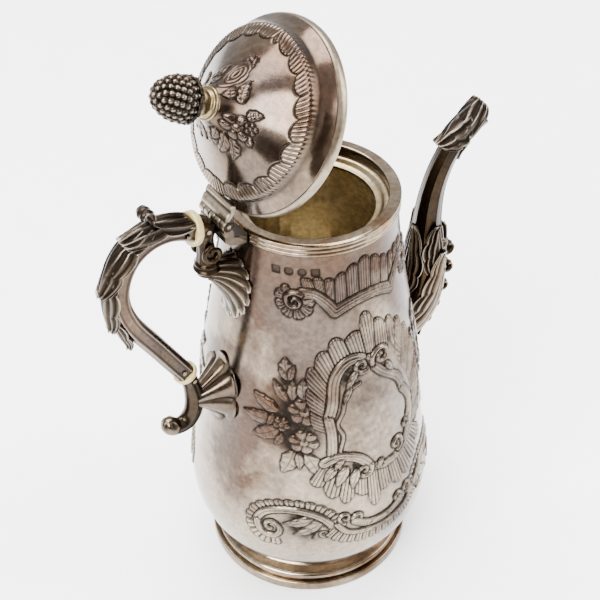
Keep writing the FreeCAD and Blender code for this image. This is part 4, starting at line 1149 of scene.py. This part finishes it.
def make_lid_edge():
    low = RIM_TOP + 0.3
    top = LID_PLANE + 2.9
    edge = LID_RADIUS
    bore = edge - 2.7
    profile = outline(([(bore, low), (edge - 1.2, low)], 5),
                      ([(edge - 1.2, low), (edge - 0.35, low + 0.5), (edge, LID_PLANE - 0.2),
                        (edge - 0.1, LID_PLANE + 1.2), (edge - 0.6, top - 0.6), (edge - 1.1, top)], 22),
                      ([(edge - 1.1, top), (bore, top)], 4), ([(bore, top), (bore, low)], 6))
    shade = np.exp(-((profile[:, 1] - top) / 0.5) ** 2) * np.exp(-((profile[:, 0] - edge + 1.1) / 0.6) ** 2)
    turned_piece("lid_edge_wire", profile, shade, 240, (0.03, 8), "lid", HINGE_SILVER,
                 "lid_edge_moulding")
    skirt = MOUTH_BORE - 0.6
    shelf = low + 1.1
    profile = outline(([(bore, low), (bore, shelf)], 3), ([(bore, shelf), (skirt - 1.1, shelf)], 6),
                      ([(skirt - 1.1, shelf), (skirt - 1.4, low - 3.0)], 6),
                      ([(skirt - 1.4, low - 3.0), (skirt - 0.9, low - 3.3), (skirt - 0.35, low - 3.0)], 5),
                      ([(skirt - 0.35, low - 3.0), (skirt, low)], 6), ([(skirt, low), (bore, low)], 6))
    shade = np.exp(-((profile[:, 1] - low) / 0.4) ** 2) * np.exp(-((profile[:,
                                                                            0] - skirt) / 0.5) ** 2) * 0.8
    turned_piece("lid_bezel_flange", profile, shade, 200, (0.03, 9), "lid", GILT,
                 "lid_bezel")


# ---- finial

FINIAL_BASE = LID_PLANE + 32.5
FRUIT_LOW = FINIAL_BASE + 6.2
FRUIT_RADIUS = 8.7
FRUIT_LENGTH = 19.6
FRUIT_TIERS = 13


FINIAL_RUNS = [([(1.7, -3), (1.7, 0)], 3), ([(1.7, 0), (6.4, 0)], 5),
               ([(6.4, 0), (6.7, 0.45), (6.4, 0.95)], 8),
               ([(6.4, 0.95), (5.2, 1.2), (5.0, 1.6)], 6), ([(5.0, 1.6), (5.5, 2.1), (5.1, 2.7)], 7),
               ([(5.1, 2.7), (3.6, 3.2), (3.0, 4.2), (3.7, 5.1)],
                12), ([(3.7, 5.1), (4.1, 5.5), (3.9, 6.1)], 6),
               ([(3.9, 6.1), (1.0, 6.4)], 4), ([(1.0, 6.4), (1.0, -3)], 6)]


def make_finial():
    profile = outline(*[([(x, FINIAL_BASE + z) for x, z in points], count) for points,
                        count in FINIAL_RUNS])
    shade = np.clip((4.4 - profile[:, 0]) / 2.0, 0, 0.5)
    turned_piece("finial_stem_turned", profile, shade, 96, (0.0, 1), "lid", GILT,
                 "finial_stem")
    make_fruit()
    make_calyx()


def fruit_radius(share):
    points = [(0, 0.02), (0.09, 0.62), (0.38, 1.0), (0.72, 0.80), (0.94, 0.42), (1.0, 0.02)]
    curve = smooth(points, 200)
    return np.interp(share, curve[:, 0], curve[:, 1]) * FRUIT_RADIUS


def make_fruit():
    """Bumps in rows over an egg."""
    rows, columns = 190, 240
    share = 0.5 - 0.5 * np.cos(np.linspace(0.02, math.pi - 0.02, rows))
    a, s = np.meshgrid(whole_turn(columns), share)
    flat = about_axis(fruit_radius(s), a, s * FRUIT_LENGTH).reshape(-1, 3)
    gap = np.full(len(flat), 99.0)
    shares = np.linspace(0, 1, 300)
    side = np.stack([shares * FRUIT_LENGTH, fruit_radius(shares)], 1)
    for tier, (along, radius) in enumerate(evenly(side, FRUIT_TIERS)[1:]):
        count = max(1, round(2 * math.pi * radius / 2.9))
        for index in range(count):
            turn = 2 * math.pi * (index + 0.5 * (tier % 2)) / count
            centre = np.array([radius * math.cos(turn), radius * math.sin(turn), along])
            gap = np.minimum(gap, np.linalg.norm(flat - centre, axis=1))
    t = gap / 1.5
    bump = 1.05 * dome(np.clip(t, 0, 1)) + 0.3 * np.clip(1 - t, 0, 1)
    out = flat - np.array([0, 0, 0.45 * FRUIT_LENGTH])
    out /= np.linalg.norm(out, axis=1)[:, None]
    flat = flat - 0.75 * out + out * bump[:, None]
    # dark between the bumps; bump tops negative: rubbed bright tops, partly painted highlight
    shade = np.clip((t - 0.66) * 3.4, 0, 1) - 0.8 * np.clip(1 - 1.7 * t, 0, 1)
    rings = flat.reshape(rows, columns, 3) + np.array([0, 0, FRUIT_LOW])
    rings_mesh("finial_fruit_cast", opened(rings), "lid", DARK, shade.reshape(rows, columns),
               replaces=("finial_fruit",))


def make_calyx():
    """Ruffled cup of leaves under the fruit."""
    angle = whole_turn(168)
    lobe = np.abs(np.sin(3.5 * angle)) ** 0.5
    ruffle = np.cos(21 * angle)
    rings = []
    shades = []
    for u in np.linspace(0, 1, 20):
        r = 3.8 + 5.2 * u ** 0.8 + 0.5 * lobe * u + 0.25 * ruffle * u
        rings.append(about_axis(r, angle, FRUIT_LOW - 0.3 + 4.6 * u ** 1.6 * (0.72 + 0.28 * lobe)))
        shades.append(0.7 * (0.5 - 0.5 * ruffle) * (1 - 0.5 * u))
    for u in np.linspace(1, 0, 12):
        r = 3.0 + 5.0 * u ** 0.8 + 0.5 * lobe * u
        rings.append(about_axis(r, angle, FRUIT_LOW + 0.5 + 4.5 * u ** 1.6 * (0.72 + 0.28 * lobe)))
        shades.append(np.full(len(angle), 0.9))
    rings_mesh("finial_calyx_leaves", opened(np.array(rings)), "lid", DARK, np.array(shades),
               replaces=("finial_calyx",))


# ---- spout

SPOUT_LOW = 109.0
SPOUT_RISE = 98.5
SPOUT_TIP = 89.5
# share of the way out and of the way up, depth and width
SPOUT_STATIONS = [(0.165, 0.036, 14.0, 10.5), (0.337, 0.173, 10.5, 9.8), (0.378, 0.355, 8.5, 8.2),
                  (0.385, 0.518, 6.2, 6.2),
                  (0.440, 0.690, 5.2, 5.2), (0.580, 0.832, 4.7, 4.8), (0.790, 0.939, 4.6, 5.2), (1.0, 1.0,
                                                                                                 4.6, 6.2)]

# middle of each rolled leaf tip down the spout's outer edge, and its radius
SPOUT_CURLS = [(76.4, 139.5, 3.5), (77.6, 127.5, 3.0), (75.8, 117.0, 2.9), (72.0, 107.8, 2.7),
               (68.2, 99.8, 2.4)]


def spout_path():
    wall = float(body_radius(SPOUT_LOW))
    reach = SPOUT_TIP - wall
    points = [(wall - 4.8, SPOUT_LOW - 1.3)]
    points += [(wall + out * reach, SPOUT_LOW + up * SPOUT_RISE) for out, up, _, _ in SPOUT_STATIONS]
    return points


def spout_sizes(extra=0.0):
    depths = [18.0] + [s[2] for s in SPOUT_STATIONS]
    widths = [11.0] + [s[3] for s in SPOUT_STATIONS]
    share = np.linspace(0, 1, 40)
    path = np.array(spout_path())
    steps = np.concatenate([[0], np.cumsum(np.linalg.norm(np.diff(path, axis=0), axis=1))])
    steps /= steps[-1]
    return np.interp(share, steps, depths) + extra, np.interp(share, steps, widths) + extra


def spout_shape(angle, share):
    """Deep flutes on the swelling root, three flat facets a side on the neck."""
    root = np.clip((0.50 - share) / 0.06, 0, 1)
    flute = 0.5 + 0.5 * np.cos(10 * angle + 2.2 * np.sin(angle) + 5 * share)
    facet = np.abs(((angle / math.pi * 4) % 1) - 0.5) * 2
    ridge = np.clip(facet - 0.80, 0, 1) / 0.20
    scale = 1 - root * 0.13 * flute ** 2 + (1 - root) * (0.05 * ridge - 0.045 * (1 - facet ** 2))
    lip = np.clip((share - 0.95) / 0.05, 0, 1)
    shade = root * 0.95 * flute ** 4 + (1 - root) * (0.25 * (1 - ridge) * (facet > 0.74) + 0.12)
    return scale * (1 + 0.10 * lip), shade


SPOUT_LEAVES = [("root_leaf_out", (0.10, 0.47), 62, 1.6, 5, -90, 1.0),
                ("root_leaf_in", (0.22, 0.52), 50, 0.8, 3, 90, 0.4),
                ("lip_shell", (0.99, 0.83), 100, 2.4, 3, 90, 1.3), ("lip_leaf", (0.98, 0.80), 56, 1.2, 3,
                                                                    -90, 1.0)]


def make_spout():
    path = spout_path()
    rings, shade = sweep(path, *spout_sizes(), spout_shape, 144, 300)
    centre = rings.mean(1, keepdims=True)
    bore = centre + (rings - centre) * 0.78
    floor = int(0.10 * len(rings))
    cast("spout_cast", np.concatenate([rings, bore[::-1][:len(rings) - floor]]),
         np.concatenate([shade, 0.7 + 0 * shade[floor:]]), replaces=("spout_left_half", "spout_right_half"))
    sizes = spout_sizes(-0.5)
    for name, span, spread, lift, lobes, turn, curl in SPOUT_LEAVES:
        ribbed_leaf("spout_" + name, path, span, spread, lift, sizes, lobes, turn, curl=curl)
    lip_path = path + [(path[-1][0] + 3.4, path[-1][1] + 1.4)]
    ribbed_leaf("spout_lip_hood", lip_path, (0.86, 0.995), 105, 1.6, sizes, 1, 90, tip=0.35, curl=-0.4)
    for index, (x, z, size) in enumerate(SPOUT_CURLS):
        stalk = [(-2.6 * size, -3.2 * size), (-1.8 * size, -1.4 * size)]
        points = curl_line((x, z), -150, 110, (size, 0.45 * size), stalk)
        make_roll("spout_curl_%d" % (index + 1), points, 1.5 * size, 0.26 * size)
    for side, name in SIDES:
        turn = 0 if side > 0 else 180
        make_volute("spout_collar_volute_" + name, (69.5, side * 6.2, 147.5), 3.4, 1.2, 1.1, side,
                    MOUNT_SILVER)
        ribbed_leaf("spout_side_leaf_" + name, path, (0.05, 0.40), 44, 1.3, sizes, 4, turn, -18 * side,
                    curl=0.7,
                    material=MOUNT_SILVER)
        ribbed_leaf("spout_collar_leaf_" + name, path, (0.34, 0.53), 46, 1.2, sizes, 3, turn, tip=0.6,
                    curl=0.8)


# ---- handle

UPPER_COLLAR = np.array([HINGE[0] - 11.5, COLLAR_HEIGHT])
LOWER_COLLAR = np.array([-64.8, COLLAR_HEIGHT - 75.0])
SOCKET_RING = np.array([HINGE[0] - 5.5, COLLAR_HEIGHT - 24])
GRIP_PATH = [(-0.045, 0.28), (-0.04, 0.60), (0.03, 0.85), (0.15, 0.99), (0.27, 1.02), (0.39, 0.955),
             (0.52, 0.80),
             (0.64, 0.60), (0.82, 0.30)]
GRIP_REACH = 33.0
THUMB_CURL = np.array([-20.4, 15.6])    # upper collar to the middle of the curl


def grip_path():
    along = LOWER_COLLAR - UPPER_COLLAR
    out = np.array([along[1], -along[0]])
    out = out / np.linalg.norm(out) * GRIP_REACH
    return [tuple(UPPER_COLLAR)] + [tuple(UPPER_COLLAR + along * s + out * b) for s,
                                    b in GRIP_PATH] + [tuple(LOWER_COLLAR)]


def grip_shape(angle, share):
    """Rounded six-sided section with a sunk panel and a raised line along each side."""
    six = (np.abs(np.cos(angle)) ** 3.2 + np.abs(np.sin(angle)) ** 3.2) ** (-1 / 3.2)
    side = np.cos(angle)
    panel = np.exp(-(np.sin(angle) / 0.42) ** 4) * (np.abs(side) > 0.5)
    line = np.exp(-((np.abs(np.sin(angle)) - 0.52) / 0.09) ** 2) * (np.abs(side) > 0.3)
    scale = 0.96 * six - 0.08 * panel + 0.07 * line
    groove = np.exp(-((np.abs(np.sin(angle)) - 0.40) / 0.08) ** 2) * (np.abs(side) > 0.3)
    # negative on the raised lines: rubbed bright lines, partly painted highlight
    return scale, 0.75 * groove - 0.55 * line


HANDLE_LEAVES = (("second", (0.20, 0.42), 84, 1.5), ("third", (0.36, 0.56), 72, 1.7),
                 ("fourth", (0.50, 0.68), 56, 1.3))


def make_handle():
    path = grip_path()
    rings, shade = sweep(path, [4.8, 4.5], [5.6, 4.3], grip_shape, 96, 260)
    cast("handle_grip_cast", rings, shade, GRIP, ("handle_left_half", "handle_right_half"))
    sizes = ([5.0, 4.7], [5.8, 4.6])
    ribbed_leaf("handle_leaf_first", path, (0.06, 0.255), 88, 0.7, sizes, 2, -90, tip=0.35, curl=0.9,
                replaces=("thumb_leaf",))
    for name, span, spread, lift in HANDLE_LEAVES:
        ribbed_leaf("handle_leaf_" + name, path, span, spread, lift, sizes, 3, -90, curl=0.7)
    make_thumb_curl()


def make_thumb_curl():
    """Tip of the first leaf, turned up and rolled back for the thumb."""
    centre = UPPER_COLLAR + THUMB_CURL
    points = curl_line(centre, -55, 200, (3.2, 1.6), [(6.4, -8.6), (4.2, -5.4)])
    make_roll("handle_thumb_curl", points, 4.6, 0.75)


# ---- handle mounts

def make_upper_socket():
    tilt = math.radians(12)
    along = np.array([math.cos(tilt), -math.sin(tilt)])
    elbow = UPPER_COLLAR + along * 4.2
    places = [UPPER_COLLAR + along * 1.6, elbow + (0.9, -1.4), elbow + (1.4, -6.0),
              (elbow + SOCKET_RING) / 2 + (0.9, -2.0), SOCKET_RING + (0.0, 2.0), SOCKET_RING + (-0.2, -1.5)]
    path = [tuple(place) for place in places]

    def shape(angle, share):
        flute = 0.5 + 0.5 * np.cos(8 * angle)
        waist = 0.86 + 0.14 * np.cos(2 * math.pi * share * 1.2)
        beads = 0.24 * np.exp(-((share - 0.90) / 0.035) ** 2) + 0.12 * np.exp(-((share - 0.80) / 0.03) ** 2)
        hollow = np.exp(-((share - 0.84) / 0.02) ** 2) + np.exp(-((share - 0.96) / 0.02) ** 2)
        shade = np.clip(0.6 * flute ** 3 * (share < 0.75) + 0.9 * hollow, 0, 1)
        return waist * (1 - 0.06 * flute * (share < 0.75)) + beads, shade

    sizes = [5.4, 5.2, 4.8, 4.7]
    cast("upper_socket_cast", *sweep(path, sizes, sizes, shape, 80, 120), replaces=("upper_socket",))
    for side, name in SIDES:
        centre = (SOCKET_RING[0] + 0.8, side * 4.4, SOCKET_RING[1] + 10.5)
        make_volute("upper_socket_volute_" + name, centre, 4.7, 1.15, 1.35, side, DARK)


def body_fan(name, root, root_radius, middle, spread, lobes, node, deep, swell, hollow=False):
    """Fluted shell from a round root on the handle's line to a lobed edge on the body; spread is how far it
    reaches round the body in degrees, up and down."""
    rows = 60
    angle = whole_turn(168)
    half_turn, high, low = spread
    flute = np.abs(np.sin(lobes / 2 * angle))
    scallop = 1 - 0.16 * (1 - flute ** 0.5)
    height = middle + np.where(np.sin(angle) > 0, high, low) * np.sin(angle) * scallop
    wall = body_radius(height)
    edge = about_axis(wall + 0.1, np.radians(180 + half_turn * np.cos(angle) * scallop), height)
    start = np.stack([root[0] + 0 * angle, -root_radius * np.cos(angle),
                      root[1] + root_radius * np.sin(angle)], 1)
    rings = []
    shades = []
    for index in range(rows):
        u = index / (rows - 1)
        ease = u ** 1.5
        point = start * (1 - ease) + edge * ease
        drawn = start * (1 - u) + edge * u
        point[:, 0] = drawn[:, 0] * (1 - u ** 2) + edge[:, 0] * u ** 2
        form = (1 - flute) ** 2.5 if hollow else 1 - (1 - flute) ** 2
        ridge = form * deep * math.sin(math.pi * min(1, 0.15 + 0.85 * u)) ** 0.5
        lip = swell * 0.35 * math.exp(-((u - 0.93) / 0.05) ** 2)
        out = point - np.array([6 - wall.mean(), 0, middle])
        out /= np.linalg.norm(out, axis=1)[:, None]
        rings.append(point + out * (ridge + lip * flute)[:, None])
        rim = math.exp(-((u - 0.95) / 0.05) ** 2)
        shade = (1 - flute) ** 1.5 * (0.55 + 0.55 * u)
        if hollow:
            # thin ridges and the rim go negative: rubbed bright edges, partly painted highlight
            shade = 0.95 * flute * (1 - rim) - 0.7 * (1 - flute) ** 4 - 0.6 * rim
        shades.append(np.clip(shade, -1, 1))
    rings.append(edge * np.array([0.985, 0.985, 1]))
    shades.append(np.ones(len(angle)))
    rings_mesh(name, np.array(rings), "pot", MOUNT_SILVER, np.array(shades), replaces=(node,))


def make_mounts():
    body_fan("upper_shell_fluted", SOCKET_RING + (0.2, -1.0), 4.4, SOCKET_RING[1] - 13, (17, 15, 17), 14,
             "upper_shell_mount", 1.3, 3.4, True)
    neck = LOWER_COLLAR + (2.9, -17.5)
    body_fan("lower_mount_leaf", (neck[0] + 1.5, neck[1]), 3.9, neck[1], (15, 18, 18), 6,
             "lower_mount", 1.9, 5.0)
    make_lower_scroll()


BALL_RADIUS = 4.7


def make_lower_scroll():
    offsets = [(0, 0), (2.9, -10.1), (3.6, -17.5), (2.4, -24.4), (-1.6, -29.0), (-6.4, -29.4)]
    path = [tuple(LOWER_COLLAR + offset) for offset in offsets]

    def shape(angle, share):
        line = np.exp(-((np.sin(angle) - 0.15) / 0.22) ** 2) * (np.abs(np.cos(angle)) > 0.4)
        return 1 - 0.13 * line + 0.03 * np.cos(4 * angle), 0.8 * line

    sizes = [3.9, 3.6, 4.1, 4.3, 4.1, 3.7]
    cast("lower_scroll_cast", *sweep(path, sizes, sizes, shape, 72, 140), replaces=("lower_scroll",))
    centre = LOWER_COLLAR + (-8.6, -27.4)
    share = np.linspace(0.04, math.pi - 0.04, 40)
    angle = whole_turn(64)
    dimple = 1 - np.cos(6 * angle)
    rings = []
    for s in share:
        r = BALL_RADIUS * math.sin(s) * (1 - 0.06 * dimple * math.exp(-((s - 0.9) / 0.5) ** 2))
        up = BALL_RADIUS * math.cos(s)
        rings.append(np.stack([centre[0] + up * -0.2 + r * np.cos(angle), r * np.sin(angle),
                               centre[1] + up + 0 * angle], 1))
    shade = np.exp(-((share - 0.9) / 0.45) ** 2)[:, None] * 0.5 * dimple
    cast("lower_scroll_ball", np.array(rings), shade, MOUNT_SILVER)


# ---- hinge

KNUCKLES = 5


def make_bar(name, section, y_low, y_high, body, material, shade, end_shade, replaces=()):
    """Bar along Y with a section in the XZ plane, eased at both ends."""
    section = np.array(section, float)
    middle = section.mean(0)
    rings = []
    for share, size in ((0, 0.90), (0, 0.97), (0.03, 1.0), (0.5, 1.0), (0.97, 1.0), (1, 0.97), (1, 0.90)):
        points = middle + (section - middle) * size
        y = y_low + (y_high - y_low) * share
        rings.append(np.stack([points[:, 0], 0 * points[:, 0] + y, points[:, 1]], 1))
    rings = np.array(rings)
    tone = np.repeat(shade[None], len(rings), 0)
    ends = [0, 1, -2, -1]
    tone[ends] = np.maximum(tone[ends], end_shade)
    rings_mesh(name, opened(rings) if body == "lid" else rings, body, material, tone,
               replaces=replaces)


def make_hinge():
    low = low_of("hinge_pin", 1)
    length = (high_of("hinge_pin", 1) - low) / KNUCKLES
    high = low + KNUCKLES * length
    turn = whole_turn(40)
    barrel = np.stack([HINGE[0] + 2.55 * np.cos(turn), HINGE[2] + 2.55 * np.sin(turn)], 1)
    ring = 0.35 * (0.5 + 0.5 * np.cos(5 * turn))
    for index in range(KNUCKLES):
        body = "lid" if index % 2 else "pot"
        replaces = {0: ("hinge_body_leaf",), 1: ("hinge_lid_leaf",)}.get(index, ())
        start = low + index * length
        # the knuckle ends take painted shade (0.95) for the dark gaps between the knuckles
        make_bar("hinge_knuckle_%d" % (index + 1), barrel, start + 0.22, start + length - 0.22, body,
                 HINGE_SILVER, ring,
                 0.95, replaces)
    x, z = HINGE[0], HINGE[2]
    wall = 0.6 - RIM_RADIUS
    bracket = [(x - 1.7, z - 1.4), (x - 2.3, z - 4.0), (x - 1.8, z - 4.8), (x - 2.0, z - 7.4),
               (x + 0.4, z - 9.8),
               (wall, NECK_TOP + 0.6), (wall, RIM_TOP - 0.3), (x + 3.4, z - 6.8), (x + 1.8, z - 2.2)]
    shade = np.array([0.5, 0.1, 0.7, 0.2, 0.4, 0.5, 0.5, 0.5, 0.5])
    make_bar("hinge_fixed_plate", bracket, low + 0.3, high - 0.3, "pot", MOUNT_SILVER, shade, 0.35)
    lid = -LID_RADIUS
    plate = [(x + 1.0, z + 0.9), (lid + 1.0, z + 0.3), (lid + 3.6, z + 1.2), (lid + 3.4, z + 2.6),
             (lid + 1.6, z + 3.0),
             (lid + 0.6, z + 2.2), (lid, z + 2.2), (lid - 0.8, z + 2.9), (x + 2.4, z + 2.7), (x + 1.0,
                                                                                              z + 2.3)]
    shade = np.array([0, 0, 0, 0, 0, 0.85, 0.85, 0, 0, 0.85])
    make_bar("hinge_moving_plate", plate, low + 0.3, high - 0.3, "lid", HINGE_SILVER, shade, 0.2)


# ---- small CAD pieces that keep their shape

def finish_cad():
    pins = ("hinge_pin", "upper_grip_pin", "upper_socket_pin", "lower_grip_pin", "lower_socket_pin")
    looks = {"finial_nut": GILT, "upper_insulator": IVORY, "lower_insulator": IVORY,
             **dict.fromkeys(pins, MOUNT_SILVER)}
    for node, material in looks.items():
        for slot in frame["nodes"][node].material_slots:
            slot.link = "OBJECT"
            slot.material = material


def make_pin_heads():
    for name in ("upper_grip_pin", "lower_grip_pin"):
        low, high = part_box(name)
        x, _, z = [(a + b) / 2 / MM for a, b in zip(low, high)]
        for side, label in SIDES:
            centre = (x, side * (high[1] / MM + 0.15), z)
            cast(name + "_head_" + label, pin_disc(centre, 1.15, 0.6), material=MOUNT_SILVER)


# ---- room, light and camera

def make_room():
    bpy.ops.mesh.primitive_plane_add(size=6.0, location=(0, 0, 0))
    floor = bpy.context.object
    floor.name = "studio_floor"
    floor.data.materials.append(floor_paint())
    world = bpy.data.worlds.new("studio_air")
    bpy.context.scene.world = world
    world.use_nodes = True
    nodes = world.node_tree.nodes
    links = world.node_tree.links
    where = nodes.new("ShaderNodeTexCoord")
    split = nodes.new("ShaderNodeSeparateXYZ")
    ramp = nodes.new("ShaderNodeValToRGB")
    ramp.color_ramp.elements[0].position = 0.0
    ramp.color_ramp.elements[0].color = (0.60, 0.58, 0.56, 1)
    ramp.color_ramp.elements[1].position = 0.75
    ramp.color_ramp.elements[1].color = (0.98, 0.98, 1.0, 1)
    links.new(where.outputs["Generated"], split.inputs[0])
    links.new(split.outputs["Z"], ramp.inputs["Fac"])
    links.new(ramp.outputs["Color"], nodes["Background"].inputs["Color"])
    nodes["Background"].inputs["Strength"].default_value = 2.0


def add_light(name, place, target, size, power):
    data = bpy.data.lights.new(name, "AREA")
    data.shape = "RECTANGLE"
    data.size, data.size_y = size
    data.energy = power
    lamp = bpy.data.objects.new(name, data)
    lamp.location = place
    lamp.rotation_euler = (Vector(target) - Vector(place)).to_track_quat("-Z", "Y").to_euler()
    bpy.context.scene.collection.objects.link(lamp)


def add_flag(name, place, target, size):
    """Dark card beside the set that gives the silver something to reflect."""
    bpy.ops.mesh.primitive_plane_add(size=1.0, location=place)
    card = bpy.context.object
    card.name = name
    card.scale = (size[0], size[1], 1)
    card.rotation_euler = (Vector(target) - Vector(place)).to_track_quat("Z", "Y").to_euler()
    card.visible_camera = False
    card.visible_shadow = False
    card.visible_diffuse = False
    n = Nodes(name + "_paint")
    colour = n.ramp(n.noise(4.0), [(0.3, (0.020, 0.014, 0.010)), (0.7, (0.05, 0.038, 0.030))])
    n.link(colour, n.shader.inputs["Base Color"])
    n.shader.inputs["Roughness"].default_value = 0.9
    card.data.materials.append(n.material)


def make_lights():
    middle = (0, 0, 0.13)
    add_light("key_softbox", (-1.2, -0.5, 1.3), middle, (1.1, 1.1), 100)
    add_light("side_softbox", (1.3, -0.7, 0.9), middle, (0.9, 1.3), 46)
    add_light("top_softbox", (0.1, 0.5, 1.7), middle, (1.4, 1.0), 90)
    add_flag("camera_flag", (-0.50, -0.95, 0.62), middle, (0.55, 1.0))
    add_flag("low_flag", (0.25, -1.2, 0.25), middle, (0.40, 0.6))
    add_flag("lid_flag", (-0.85, -0.62, 0.26), (0, 0, 0.24), (0.95, 0.40))


def make_camera():
    data = bpy.data.cameras.new("photo_camera")
    data.lens = 90.42
    data.sensor_width = 36
    camera = bpy.data.objects.new("photo_camera", data)
    camera.location = (-0.2875, -0.4031, 0.5831)
    aim = Vector((-0.00352, 0.00247, 0.1436))
    camera.rotation_euler = (aim - camera.location).to_track_quat("-Z", "Y").to_euler()
    bpy.context.scene.collection.objects.link(camera)
    bpy.context.scene.camera = camera


make_camera()
make_room()
make_lights()
make_body()
make_rim()
make_bezel()
make_foot()
make_lid()
make_lid_edge()
make_finial()
make_spout()
make_handle()
make_upper_socket()
make_mounts()
make_hinge()
finish_cad()
make_pin_heads()

bpy.context.view_layer.update()
